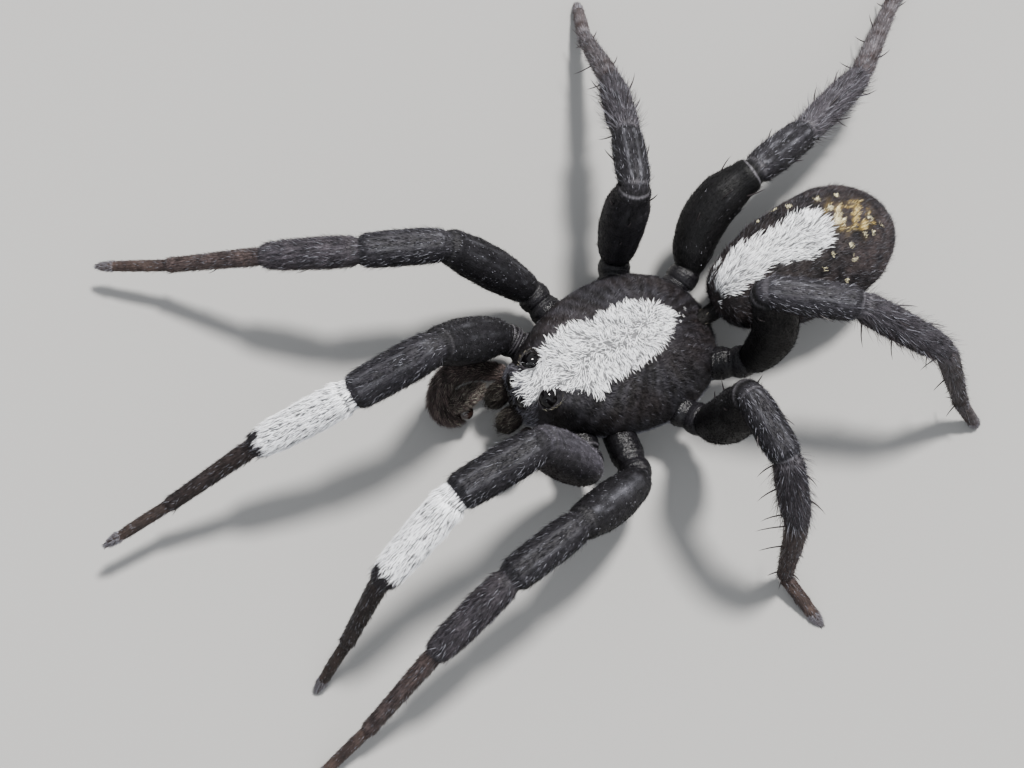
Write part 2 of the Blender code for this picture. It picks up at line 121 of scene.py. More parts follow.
class Pile:
    """Gathers triangles, with their map and tint, for one mesh."""

    def __init__(self):
        self.V, self.F, self.UV, self.C, self.S, self.count = [], [], [], [], [], 0

    def add(self, verts, faces, uv, tint, rough=0.5, smooth=True):
        self.V.append(verts.reshape(-1, 3))
        self.F.append(faces.reshape(-1, 3) + self.count)
        self.S.append(np.full(faces.reshape(-1, 3).shape[0], smooth))
        self.UV.append(uv.reshape(-1, 3, 2))
        tint = tint.reshape(-1, 3)
        rough = np.broadcast_to(np.asarray(rough, float).reshape(-1), (len(tint),))
        self.C.append(np.concatenate((tint, rough[:, None]), 1))
        self.count += verts.reshape(-1, 3).shape[0]

    def tris(self):
        return sum(len(f) for f in self.F)

    def surf(self, s, rect, tint, rough=0.6, cap_start=True, cap_end=True):
        n, m = s.n, s.m
        I, J = np.meshgrid(np.arange(n - 1), np.arange(m), indexing="ij")
        I, J = I.ravel(), J.ravel()
        J2 = (J + 1) % m
        a, b, c, d = I * m + J, (I + 1) * m + J, (I + 1) * m + J2, I * m + J2
        u0, v0, u1, v1 = rect

        def uv(i, j):
            return np.stack((u0 + (u1 - u0) * i / (n - 1), v0 + (v1 - v0) * j / m), -1)

        ua, ub, uc, ud = uv(I, J), uv(I + 1, J), uv(I + 1, J + 1), uv(I, J + 1)
        if s.flip:
            tri = np.concatenate((np.stack((a, b, c), -1), np.stack((a, c, d), -1)))
            tuv = np.concatenate((np.stack((ua, ub, uc), 1), np.stack((ua, uc, ud), 1)))
        else:
            tri = np.concatenate((np.stack((a, c, b), -1), np.stack((a, d, c), -1)))
            tuv = np.concatenate((np.stack((ua, uc, ub), 1), np.stack((ua, ud, uc), 1)))
        verts = s.P.reshape(-1, 3)
        col = tint.reshape(-1, 3)
        ro = np.broadcast_to(np.asarray(rough, float), s.P.shape[:2])
        rough = ro.reshape(-1)
        caps, cuv = [], []
        extra, ecol = [], []
        for on, ring, uu in ((cap_start, 0, u0), (cap_end, n - 1, u1)):
            if not on:
                continue
            mid = len(verts) + len(extra)
            extra.append(s.P[ring].mean(axis=0))
            ecol.append(tint[ring].mean(axis=0))
            rough = np.append(rough, ro[ring].mean())
            j = np.arange(m)
            k = (j + 1) % m
            order = (ring * m + j, ring * m + k) if (ring == 0) == s.flip else (ring * m + k, ring * m + j)
            caps.append(np.stack((order[0], order[1], np.full(m, mid)), -1))
            inn = u0 + 0.004 if ring == 0 else u1 - 0.004
            va, vb = v0 + (v1 - v0) * j / m, v0 + (v1 - v0) * (j + 1) / m
            if (ring == 0) != s.flip:
                va, vb = vb, va
            cuv.append(np.stack((np.stack((np.full(m, uu), va), -1), np.stack((np.full(m, uu), vb), -1),
                                 np.stack((np.full(m, inn), (va + vb) / 2), -1)), 1))
        if extra:
            verts = np.concatenate((verts, np.array(extra)))
            col = np.concatenate((col, np.array(ecol)))
            tri = np.concatenate([tri] + caps)
            tuv = np.concatenate([tuv] + cuv)
        self.add(verts, tri, tuv, col, rough)

    def strands(self, root, lie, normal, length, width, lift, curl, tint, uv, segs=2, flat=0.6, root_shade=0.75, tip_shade=1.1, smooth=True):
        """Tapered hairs.  lie is the way they point along the skin, lift the
        angle they stand out at (radians) and curl how far they bend back."""
        k = len(root)
        if k == 0:
            return
        lie = unit(lie - normal * (lie * normal).sum(-1, keepdims=True))
        side = np.cross(lie, normal)
        length, width, lift, curl = (np.broadcast_to(np.asarray(x, float), (k,))[:, None] for x in (length, width, lift, curl))
        rows = []
        shades = []
        p = root - normal * width * 0.6
        step = length / segs
        ang = lift.copy()
        for s in range(segs):
            f = s / segs
            up = unit(normal * np.cos(ang) - lie * np.sin(ang))
            r = width * 0.5 * (1 - f) ** 0.6
            for q in (0, 1, 2):
                a = math.pi / 2 + q * 2 * math.pi / 3
                rows.append(p + side * (r * math.cos(a)) + up * (r * flat * math.sin(a)))
            shades += [lerp(root_shade, tip_shade, f)] * 3
            p = p + (lie * np.cos(ang) + normal * np.sin(ang)) * step
            ang = ang - curl / segs
        rows.append(p)
        shades.append(tip_shade)
        verts = np.stack(rows, 1)
        nv = verts.shape[1]
        tri = []
        for s in range(segs - 1):
            for q in range(3):
                a, b = s * 3 + q, s * 3 + (q + 1) % 3
                tri += [(a, b, b + 3), (a, b + 3, a + 3)]
        for q in range(3):
            tri.append(((segs - 1) * 3 + q, (segs - 1) * 3 + (q + 1) % 3, nv - 1))
        tri = np.array(tri)[:, (0, 2, 1)]    # wound so that each hair faces outward
        spots = []
        for s in range(segs):
            for q in range(3):
                spots.append(((q - 1) * 0.0014, (s / segs - 0.5) * 0.0028 + (0.0005 if q == 1 else 0)))
        spots.append((0.0002, 0.0014))
        spots = np.array(spots)
        faces = tri[None] + (np.arange(k) * nv)[:, None, None]
        vuv = uv[:, None, :] + spots[None]
        tuv = vuv[:, tri.ravel()].reshape(k, len(tri), 3, 2)
        col = tint[:, None, :] * np.array(shades)[None, :, None]
        self.add(verts, faces, tuv, col, smooth=smooth)

    def object(self, name, material):
        V = place(np.concatenate(self.V))
        V[:, 2] = np.maximum(V[:, 2], 0.000002)
        F = np.concatenate(self.F)
        UV = np.clip(np.concatenate(self.UV), 0.0, 1.0)
        C = np.clip(np.concatenate(self.C), 0.0, 1.0)
        me = bpy.data.meshes.new(name)
        me.vertices.add(len(V))
        me.vertices.foreach_set("co", V.astype(np.float32).ravel())
        me.loops.add(len(F) * 3)
        me.loops.foreach_set("vertex_index", F.astype(np.int32).ravel())
        me.polygons.add(len(F))
        me.polygons.foreach_set("loop_start", np.arange(0, len(F) * 3, 3, dtype=np.int32))
        me.polygons.foreach_set("use_smooth", np.concatenate(self.S))
        layer = me.uv_layers.new(name="OFBake")
        layer.data.foreach_set("uv", UV.astype(np.float32).ravel())
        att = me.color_attributes.new(name="tint", type="FLOAT_COLOR", domain="POINT")
        att.data.foreach_set("color", C.astype(np.float32).ravel())
        me.materials.append(material)
        me.update(calc_edges=True)
        ob = bpy.data.objects.new(name, me)
        bpy.context.scene.collection.objects.link(ob)
        return ob


# ================================================================ materials
def tinted(name, roughness, bump_scale, bump_strength, specular=0.5, coat=0.0, coat_rough=0.2, mottle=0.0, sheen=0.0):
    """Colour from the painted tint, broken up by a fine grain in the shape's
    own space, with a grain bump that stands for the flat fur."""
    mat = bpy.data.materials.new(name)
    mat.use_nodes = True
    nt = mat.node_tree
    sh = nt.nodes["Principled BSDF"]
    att = nt.nodes.new("ShaderNodeAttribute")
    att.attribute_name = "tint"
    sh.inputs["Roughness"].default_value = roughness
    if mottle:
        nt.links.new(att.outputs["Alpha"], sh.inputs["Roughness"])
    sh.inputs["Specular IOR Level"].default_value = specular
    sh.inputs["Coat Weight"].default_value = coat
    sh.inputs["Coat Roughness"].default_value = coat_rough
    if sheen:
        sh.inputs["Sheen Weight"].default_value = sheen
        sh.inputs["Sheen Roughness"].default_value = 0.5
        sh.inputs["Sheen Tint"].default_value = (0.75, 0.8, 0.95, 1)
    where = nt.nodes.new("ShaderNodeTexCoord")
    if mottle:
        # flat fur: fine streaks that run along the body and the legs
        along = nt.nodes.new("ShaderNodeMapping")
        along.inputs["Scale"].default_value = (95.0, 1500.0, 1.0)
        nt.links.new(where.outputs["UV"], along.inputs["Vector"])
        streak = nt.nodes.new("ShaderNodeTexNoise")
        streak.inputs["Scale"].default_value = 1.0
        streak.inputs["Detail"].default_value = 3.0
        nt.links.new(along.outputs["Vector"], streak.inputs["Vector"])
        n = nt.nodes.new("ShaderNodeTexNoise")
        n.inputs["Scale"].default_value = 9000.0
        n.inputs["Detail"].default_value = 3.0
        nt.links.new(where.outputs["Object"], n.inputs["Vector"])
        ramp = nt.nodes.new("ShaderNodeMapRange")
        ramp.inputs["From Min"].default_value = 0.3
        ramp.inputs["From Max"].default_value = 0.7
        ramp.inputs["To Min"].default_value = 1 - mottle
        ramp.inputs["To Max"].default_value = 1 + mottle
        both = nt.nodes.new("ShaderNodeMath")
        both.operation = "MULTIPLY_ADD"
        both.inputs[1].default_value = 0.5
        nt.links.new(n.outputs["Fac"], both.inputs[0])
        half = nt.nodes.new("ShaderNodeMath")
        half.operation = "MULTIPLY"
        half.inputs[1].default_value = 0.5
        nt.links.new(streak.outputs["Fac"], half.inputs[0])
        nt.links.new(half.outputs["Value"], both.inputs[2])
        nt.links.new(both.outputs["Value"], ramp.inputs["Value"])
        mul = nt.nodes.new("ShaderNodeVectorMath")
        mul.operation = "SCALE"
        nt.links.new(att.outputs["Color"], mul.inputs[0])
        nt.links.new(ramp.outputs["Result"], mul.inputs["Scale"])
        nt.links.new(mul.outputs["Vector"], sh.inputs["Base Color"])
    else:
        nt.links.new(att.outputs["Color"], sh.inputs["Base Color"])
    if bump_strength:
        n2 = nt.nodes.new("ShaderNodeTexNoise")
        n2.inputs["Scale"].default_value = bump_scale
        n2.inputs["Detail"].default_value = 4.0
        n2.inputs["Roughness"].default_value = 0.6
        nt.links.new(where.outputs["Object"], n2.inputs["Vector"])
        b = nt.nodes.new("ShaderNodeBump")
        b.inputs["Strength"].default_value = bump_strength
        b.inputs["Distance"].default_value = 0.00003
        if mottle:
            mix = nt.nodes.new("ShaderNodeMath")
            mix.operation = "ADD"
            nt.links.new(n2.outputs["Fac"], mix.inputs[0])
            nt.links.new(streak.outputs["Fac"], mix.inputs[1])
            nt.links.new(mix.outputs["Value"], b.inputs["Height"])
        else:
            nt.links.new(n2.outputs["Fac"], b.inputs["Height"])
        nt.links.new(b.outputs["Normal"], sh.inputs["Normal"])
    return mat


SKIN = tinted("skin_cuticle", 0.55, 16000.0, 0.5, specular=0.16, mottle=0.55)
HAIR = tinted("hair", 0.58, 0, 0, specular=0.09)
BRISTLE = tinted("bristle", 0.35, 0, 0, specular=0.25)


def plain(name, color, roughness, **more):
    mat = bpy.data.materials.new(name)
    mat.use_nodes = True
    sh = mat.node_tree.nodes["Principled BSDF"]
    sh.inputs["Base Color"].default_value = (*color, 1)
    sh.inputs["Roughness"].default_value = roughness
    for k, v in more.items():
        sh.inputs[k.replace("_", " ")].default_value = v
    return mat


# ================================================================ body design
YAW = math.radians(-5.8)
PIVOT = (0.10, 1.95)


def pro(x, y, z):
    """A place in the prosoma's own frame, turned about the stalk."""
    c, s = math.cos(YAW), math.sin(YAW)
    x, y, z = np.broadcast_arrays(np.asarray(x, float), np.asarray(y, float), np.asarray(z, float))
    return np.stack((PIVOT[0] + c * x - s * (y - PIVOT[1]), PIVOT[1] + s * x + c * (y - PIVOT[1]), z), -1)


def unpro(p):
    c, s = math.cos(YAW), math.sin(YAW)
    dx, dy = p[..., 0] - PIVOT[0], p[..., 1] - PIVOT[1]
    return c * dx + s * dy, PIVOT[1] - s * dx + c * dy


def soft_interp(x, table, blur=0.05):
    xs = np.array([a for a, _ in table])
    ys = np.array([b for _, b in table])
    return sum(np.interp(x + d * blur, xs, ys) * w for d, w in ((-1, 0.25), (-0.5, 0.25), (0, 0), (0.5, 0.25), (1, 0.25)))


HALF_WIDTH = ((-2.10, 0.10), (-2.075, 0.34), (-2.02, 0.47), (-1.92, 0.56), (-1.70, 0.70), (-1.40, 0.91), (-1.05, 1.14),
              (-0.60, 1.36), (0.00, 1.48), (0.55, 1.49), (1.05, 1.37), (1.45, 1.16), (1.75, 0.90), (1.93, 0.58), (2.00, 0.30))
CROWN = ((-2.10, 0.26), (-2.075, 0.46), (-2.02, 0.60), (-1.92, 0.75), (-1.70, 0.83), (-1.40, 0.87), (-1.05, 0.865),
         (-0.60, 0.875), (0.00, 0.885), (0.55, 0.865), (1.05, 0.755), (1.45, 0.55), (1.75, 0.33), (1.93, 0.15), (2.00, 0.06))
RIM_Z = 1.06
EYES = {
    "posterior_lateral": (0.36, -1.60, 1.83, 0.185),
    "posterior_median": (0.20, -1.94, 1.62, 0.175),
    "anterior_lateral": (0.27, -2.045, 1.33, 0.070),
    "anterior_median": (0.095, -2.075, 1.36, 0.085),
}


def carapace():
    ys = np.concatenate((np.linspace(-2.10, -1.86, 24), np.linspace(-1.845, -1.30, 36), np.linspace(-1.27, 1.80, 92), np.linspace(1.82, 2.0, 14)))
    m = 192
    a = np.linspace(0, 2 * math.pi, m, endpoint=False)
    w = soft_interp(ys, HALF_WIDTH, 0.03)[:, None]
    crown = soft_interp(ys, CROWN, 0.03)[:, None]
    steep = (0.62 + 0.38 * np.clip((ys + 1.2) / 1.2, 0, 1))[:, None]
    cs, sn = np.cos(a)[None], np.sin(a)[None]
    top = sn >= 0
    x = np.where(top, w * np.sign(cs) * np.abs(cs) ** steep, w * 0.97 * np.sign(cs) * np.abs(cs) ** 0.8)
    belly = np.interp(ys, (-2.1, -1.6, -1.2, 1.2, 1.6, 2.0), (0.10, 0.26, 0.44, 0.44, 0.26, 0.10))[:, None]
    z = np.where(top, RIM_Z + crown * np.abs(sn) ** (0.9 + 0.1 * np.clip((ys[:, None] + 1.2) / 1.2, 0, 1)),
                 RIM_Z - belly * np.abs(sn) ** 0.75)
    # a fine raised rim
    edge = np.exp(-((z - RIM_Z) / 0.045) ** 2) * np.clip((ys[:, None] + 1.6) / 0.5, 0, 1)
    x = x + np.sign(cs) * 0.028 * edge
    y = np.broadcast_to(ys[:, None], x.shape)
    up = np.where(top, 1.0, 0.0)
    # grooves of the thorax spread from the fovea, and the head rises between them
    fx, fy = x, y - 0.62
    ang = np.arctan2(np.abs(fx), -fy)
    rad = np.hypot(fx, fy)
    groove = 0
    for g, depth in ((0.62, 0.045), (1.15, 0.03), (1.62, 0.03), (2.15, 0.025)):
        groove = groove + depth * np.exp(-((ang - g) / 0.11) ** 2) * np.clip((rad - 0.15) / 0.4, 0, 1) * np.clip((1.75 - rad) / 0.6, 0, 1)
    groove = groove + 0.10 * np.exp(-(x / 0.035) ** 2) * np.exp(-((y - 0.66) / 0.22) ** 4)
    z = z - up * groove * np.clip((z - RIM_Z) / 0.3, 0, 1)
    for ex, ey, ez, er in (EYES["posterior_lateral"], EYES["posterior_median"]):
        for s in (1, -1):
            d2 = (x - s * ex) ** 2 + (y - ey) ** 2 + (z - ez) ** 2
            z = z + 0.045 * np.exp(-d2 / 0.05) * up
    # a low lip round each of the four large eyes, so that the lens sits in it
    q = Surf("carapace", pro(x, y, z))
    lip = 0
    for ex, ey, ez, er in (EYES["posterior_lateral"], EYES["posterior_median"]):
        for s in (1, -1):
            d = np.linalg.norm(q.P - pro(s * ex, ey, ez), axis=-1)
            lip = np.maximum(lip, 0.045 * np.exp(-((d - er - 0.010) / 0.045) ** 2))
    return Surf("carapace", q.P + q.N * np.asarray(lip)[..., None])


ABDOMEN_PROFILE = ((0.000, 0.05), (0.008, 0.20), (0.030, 0.40), (0.085, 0.57), (0.20, 0.78), (0.36, 0.925), (0.54, 1.00),
                   (0.70, 0.985), (0.82, 0.88), (0.91, 0.68), (0.965, 0.46), (0.99, 0.24), (1.0, 0.05))
ABD_Y, ABD_L, ABD_X, ABD_Z = 2.10, 3.98, 0.03, 1.42
ABD_W, ABD_H = 1.15 - 0.045, 1.07 - 0.045


def abdomen():
    t = np.concatenate((np.linspace(0, 0.05, 16), np.linspace(0.06, 0.94, 90), np.linspace(0.945, 1.0, 20)))
    f = soft_interp(t, ABDOMEN_PROFILE, 0.012)
    f[0], f[-1] = 0.03, 0.03
    m = 120
    a = np.linspace(0, 2 * math.pi, m, endpoint=False)
    y = ABD_Y + t * ABD_L
    z0 = ABD_Z + 0.20 * np.maximum(0, 1 - t / 0.35) - 0.10 * np.maximum(0, (t - 0.75) / 0.25)
    x = ABD_X + ABD_W * f[:, None] * np.cos(a)[None]
    z = z0[:, None] + ABD_H * f[:, None] * np.sin(a)[None]
    p = np.stack((x, np.broadcast_to(y[:, None], x.shape), z), -1)
    s = Surf("abdomen", p)
    soft = ripple(p, 0.9, 3) * 0.012 + ripple(p, 0.35, 4) * 0.006
    return Surf("abdomen", p + s.N * soft[..., None] * np.clip(f[:, None, None] * 2, 0, 1))


# ---------------------------------------------------------------- legs
LEG_LENGTHS = {1: (2.98, 1.68, 2.03, 1.97, 1.30), 2: (2.40, 1.56, 1.85, 2.08, 1.38), 3: (2.65, 1.28, 1.64, 2.18, 1.20),
               4: (2.60, 1.68, 2.11, 2.39, 0.85)}
LEG_POSE = {
    "L1": ((1.52, -1.47, 1.11), (-109, -88, -73, -64, -66), (65, -2, -28, -63, -49), 1.0, (0, 0, 0)),
    "R1": ((-1.52, -1.54, 0.98), (-97, -88, -84, -89, -92), (55, -14, -24, -31, -11), 1.0, (0, 0, 0)),
    "L2": ((2.12, -0.78, 1.14), (-78, -82, -76, -74, -78), (42, -2, -19, -42, -28), 1.0, (0.04, 0, 0.05)),
    "R2": ((-2.06, -0.64, 0.97), (-53, -67, -57, -54, -56), (46, 2, -20, -32, -17), 1.0, (0, 0, 0.06)),
    "L3": ((1.84, 0.87, 1.22), (14, -1, -1, -4, 11), (84, -3, -54, -75, -18), 1.0, (0.16, 0, 0)),
    "R3": ((-1.81, 1.15, 0.96), (33, 27, 25, 21, 27), (77.2, -18, -28, -41.7, -29.5), 0.88, (-0.06, 0, 0)),
    "L4": ((1.22, 2.26, 1.20), (0, 52, 44, 39, 38), (103, 3, -26, -64, -51), 0.98, (0.18, 0.27, 0)),
    "R4": ((-0.93, 2.26, 1.00), (65, 77, 72, 56, 68), (32.5, -20, -14.2, -18.5, -16), 0.865, (-0.24, -0.17, 0.06)),
}
# solid radii: mid femur, femur end, patella, tibia, tibia end; the skin is a
# coat's depth inside them
LEG_RADII = {1: (0.47, 0.40, 0.395, 0.355, 0.30), 2: (0.44, 0.38, 0.365, 0.325, 0.29), 3: (0.44, 0.37, 0.345, 0.320, 0.28),
             4: (0.46, 0.38, 0.365, 0.330, 0.29)}
COXA_ROOT = {1: (0.48, -1.05), 2: (0.60, -0.42), 3: (0.60, 0.28), 4: (0.45, 0.95)}


def leg_chain(key):
    base, heads, rises, chord, bow = LEG_POSE[key]
    number = int(key[1])
    side = 1 if key[0] == "L" else -1
    lengths = list(LEG_LENGTHS[number])
    lengths[0] *= chord
    foot = np.array(base)
    rx, ry = COXA_ROOT[number]
    root = pro(side * rx, ry, 0.58 + 0.33 * 0.75)
    out = foot - root
    out[2] *= 0.6
    out = unit(out)
    coxa_end = foot - out * 0.34
    coxa_end[2] -= 0.06
    pts = [root, coxa_end, foot]
    for ln, h, e in zip(lengths, heads, rises):
        a, b = math.radians(h), math.radians(e)
        pts.append(pts[-1] + ln * np.array((side * math.cos(a) * math.cos(b), math.sin(a) * math.cos(b), math.sin(b))))
    return pts, np.array(bow, float)


def leg_surface(key):
    number = int(key[1])
    pts, bow = leg_chain(key)
    rf, rfe, rp, rt, rte = LEG_RADII[number]
    rf, rfe, rp, rt, rte = rf * {"L3": 1.12, "R3": 1.08, "R4": 1.08}.get(key, 1.0) - 0.050, rfe - 0.045, rp - 0.045, rt - 0.050, rte - 0.060
    # the front feet are slender, the rear ones stouter, and wide at the ankle
    rw, rm, re, rs = (0.165, 0.146, 0.140, 0.104) if number <= 2 else (0.200, 0.175, 0.150, 0.125)
    table = {
        0: ((0, 0.24), (0.5, 0.305), (0.86, 0.315), (0.95, 0.285), (1, 0.255)),
        1: ((0, 0.255), (0.15, 0.30), (0.5, 0.31), (0.80, 0.295), (1, 0.255)),
        2: ((0, 0.25), (0.025, 0.275), (0.045, 0.295), (0.16, rf * 0.86), (0.42, rf), (0.70, rf * 0.985), (0.88, rfe * 1.0), (0.955, rfe * 0.98), (0.975, rfe * 0.86),
            (1, rfe * 0.74)),
        3: ((0, rfe * 0.74), (0.035, rp * 0.80), (0.08, rp * 0.93), (0.30, rp * 1.01), (0.70, rp), (0.92, rp * 0.95), (0.965, rp * 0.86), (1, rp * 0.72)),
        4: ((0, rp * 0.72), (0.03, rt * 0.84), (0.075, rt * 0.97), (0.35, rt * 1.03), (0.75, rt * 0.97), (0.93, rte * 1.0), (0.97, rte * 0.90), (1, rte * 0.70)),
        5: ((0, rte * 0.66), (0.05, rw * 0.96), (0.10, rw), (0.5, rm), (0.88, re * 0.95), (0.95, re), (0.985, re * 0.90), (1, re * 0.76)),
        6: ((0, re * 0.74), (0.06, rs * 1.02), (0.5, rs), (0.80, rs * 0.86), (0.93, rs * 0.62), (0.98, rs * 0.38), (1.0, 0.015)),
    }
    fine, seg, tt = [], [], []
    for k in range(7):
        a, b = pts[k], pts[k + 1]
        steps = max(4, int(np.linalg.norm(b - a) / 0.02))
        t = np.arange(steps) / steps
        p = a[None] + (b - a)[None] * t[:, None]
        if k == 2:
            p = p + bow[None] * np.sin(math.pi * t)[:, None]
        fine.append(p)
        seg.append(np.full(steps, k))
        tt.append(t)
    fine.append(pts[7][None])
    seg.append(np.array([6]))
    tt.append(np.array([1.0]))
    fine, seg, tt = np.concatenate(fine), np.concatenate(seg), np.concatenate(tt)
    r = np.array([np.interp(t, [a for a, _ in table[s]], [b for _, b in table[s]]) for s, t in zip(seg, tt)])
    # soft folds of the joint skin round the ends of coxa and trochanter
    run = np.concatenate(([0], np.cumsum(np.linalg.norm(np.diff(fine, axis=0), axis=1))))
    soft = ((seg == 0) & (tt > 0.55)) | (seg == 1) | ((seg == 2) & (tt < 0.035))
    r = r + np.where(soft, 0.009 * np.sin(2 * math.pi * run / 0.095) + 0.005 * np.sin(2 * math.pi * run / 0.061 + 1.0), 0)
    # round the path at the joints
    wide = np.array([8.0 if s <= 2 and (s < 2 or t < 0.2) else 4.5 for s, t in zip(seg, tt)])
    idx = np.arange(len(fine))
    smooth = np.empty_like(fine)
    rr = np.empty_like(r)
    for i in idx:
        reach = min(i, len(fine) - 1 - i)
        sg = max(0.4, min(wide[i], reach / 2.5))
        lo, hi = max(0, i - 20), min(len(fine), i + 21)
        w = np.exp(-0.5 * ((idx[lo:hi] - i) / sg) ** 2)
        w /= w.sum()
        smooth[i] = w @ fine[lo:hi]
        w2 = np.exp(-0.5 * ((idx[lo:hi] - i) / 1.2) ** 2)
        rr[i] = (w2 / w2.sum()) @ r[lo:hi]
    near_joint = np.where((tt < 0.10) | (tt > 0.88) | (seg <= 1))[0]
    keep = np.unique(np.concatenate((np.arange(0, len(fine), 2), near_joint, np.arange(len(fine) - 12, len(fine)))))
    c, r, seg, tt = smooth[keep], rr[keep], seg[keep], tt[keep]
    T = unit(np.gradient(c, axis=0))
    flat = pts[7] - pts[2]
    flat[2] = 0
    flat = unit(flat)
    across = np.array((-flat[1], flat[0], 0.0))
    side = unit(across[None] - T * (T @ across)[:, None])
    dorsal = np.cross(side, T)
    if dorsal[len(c) // 2] @ np.array((0, 0, 1.0)) < 0:
        side, dorsal = -side, -dorsal
    m = 40
    a = np.linspace(0, 2 * math.pi, m, endpoint=False)
    P = c[:, None] + side[:, None] * (r[:, None] * np.cos(a)[None])[..., None] + dorsal[:, None] * (r[:, None] * np.sin(a)[None])[..., None]
    P[..., 2] = np.maximum(P[..., 2], 0.004)
    s = Surf("leg_" + key, P, seg, tt)
    s.key, s.c, s.r, s.side, s.dorsal = key, c, r, side, dorsal
    return s


def tube(name, rows, m=32, fine=10, up=(0.3, 0.2, 1.0), seg=None):
    """A smooth limb through (point, radius) rows, closed to a point at its end."""
    pts = np.array([r[0] for r in rows])
    rad = np.array([r[1] for r in rows])
    n = len(rows)
    k = np.arange(n)
    q = np.linspace(0, n - 1, (n - 1) * fine + 1)
    # gentle smoothing of the straight rows
    dense = np.stack([np.interp(q, k, pts[:, i]) for i in range(3)], -1)
    rd = np.interp(q, k, rad)
    sm = dense.copy()
    for _ in range(fine * 2):
        sm[1:-1] = (sm[:-2] + 2 * sm[1:-1] + sm[2:]) / 4
        rd[1:-1] = (rd[:-2] + 2 * rd[1:-1] + rd[2:]) / 4
    T = unit(np.gradient(sm, axis=0))
    u = np.array(up, float)
    side = unit(np.cross(T, u))
    top = np.cross(side, T)
    a = np.linspace(0, 2 * math.pi, m, endpoint=False)
    P = sm[:, None] + side[:, None] * (rd[:, None] * np.cos(a)[None])[..., None] + top[:, None] * (rd[:, None] * np.sin(a)[None])[..., None]
    s = Surf(name, P, np.zeros(len(sm)), np.linspace(0, 1, len(sm)))
    s.dorsal, s.side, s.c, s.r = top, side, sm, rd
    return s


# ================================================================ markings
BLACK = np.array((0.0070, 0.0062, 0.0075))
SLATE = np.array((0.029, 0.0275, 0.0335))
BROWN = np.array((0.023, 0.0155, 0.0140))
UMBER = np.array((0.050, 0.033, 0.027))
WHITE = np.array((0.95, 0.96, 1.0))
ASH = np.array((0.28, 0.28, 0.32))
GOLD = np.array((0.52, 0.36, 0.09))
STRAW = np.array((0.74, 0.68, 0.44))

PATCH_C = ((-2.05, -0.46, 0.06), (-1.90, -0.58, 0.12), (-1.72, -0.62, 0.12), (-1.55, -0.62, 0.10), (-1.33, -0.72, 0.14), (-1.03, -0.92, 0.35), (-0.80, -0.94, 0.62),
           (-0.50, -0.91, 0.50), (-0.20, -0.83, 0.42), (0.10, -0.83, 0.45), (0.50, -0.83, 0.42), (0.80, -0.74, 0.33),
           (1.10, -0.56, 0.10), (1.30, -0.28, -0.05))
PATCH_A = ((2.16, -0.30, 0.08), (2.30, -0.44, 0.13), (2.60, -0.59, 0.13), (3.00, -0.67, 0.06), (3.30, -0.66, 0.10), (3.70, -0.58, 0.22), (4.00, -0.66, 0.28),
           (4.25, -0.62, 0.28), (4.40, -0.60, 0.16), (4.50, -0.40, 0.06), (4.58, -0.24, -0.06))


def patch_depth(p, table, ends):
    """How far inside a blaze a place lies, mm, negative outside."""
    ys = [r[0] for r in table]
    x0 = np.interp(p[..., 1], ys, [r[1] for r in table])
    x1 = np.interp(p[..., 1], ys, [r[2] for r in table])
    inside = np.minimum(p[..., 0] - x0, x1 - p[..., 0])
    inside = np.minimum(inside, np.minimum(p[..., 1] - ends[0], ends[1] - p[..., 1]))
    return inside


def carapace_white(p):
    d = patch_depth(p, PATCH_C, (-2.06, 1.36)) - 0.07 + ripple(p, 0.22, 11) * 0.03
    return np.where(p[..., 2] > 1.35, d, -1.0)


def abdomen_white(p):
    d = patch_depth(p, PATCH_A, (2.18, 4.56)) - 0.01 + ripple(p, 0.20, 12) * 0.055 + ripple(p, 0.10, 13) * 0.03
    return np.where(p[..., 2] > 1.68, d, -1.0)


def carapace_tint(p):
    g = ripple(p, 0.5, 21) * 0.5 + ripple(p, 0.16, 22) * 0.5
    x, y = unpro(p)
    # faint rays that spread from the middle of the thorax
    ray = np.sin(np.arctan2(x, -(y - 0.62)) * 34 + 1.2 * ripple(p, 0.6, 23)) * np.clip((np.hypot(x, y - 0.62) - 0.4) / 0.5, 0, 1)
    base = lerp(BLACK * 0.7, SLATE * 0.9, np.clip(0.36 + 0.40 * g + 0.30 * ray, 0, 1)[..., None])
    base = lerp(base, BROWN * 0.7, (np.clip(0.5 + 0.6 * ripple(p, 0.8, 24), 0, 1) * 0.4)[..., None])
    # painted light: the far side is painted lighter and slaty, as if it caught the light, and the near side darker and
    # browner
    base = base * np.clip(0.88 - 0.22 * x / 1.4, 0.6, 1.15)[..., None]
    rim = np.exp(-((p[..., 2] - RIM_Z) / 0.05) ** 2)[..., None]
    base = lerp(base, ASH * 0.55, rim * 0.7)
    low = np.clip((RIM_Z - 0.08 - p[..., 2]) / 0.2, 0, 1)[..., None]
    base = lerp(base, BROWN * 0.9, low)
    w = np.clip(carapace_white(p) / 0.05, 0, 1)[..., None]
    return lerp(base, WHITE * 0.10, w)


def straw_amount(p):
    """The pale end of the gold patch, next to the blaze."""
    return np.exp(-((p[..., 1] - 4.74) / 0.15) ** 2) * np.exp(-((p[..., 0] + 0.18) / 0.27) ** 2)


def gold_amount(p):
    d = np.exp(-((p[..., 1] - 5.12) / 0.25) ** 2) * np.exp(-((p[..., 0] + 0.02) / 0.25) ** 2)
    d = np.maximum(d, 0.9 * straw_amount(p))
    return np.clip(d * (0.45 + 1.3 * ripple(p, 0.20, 31)), 0, 0.85) * (p[..., 2] > 1.6)


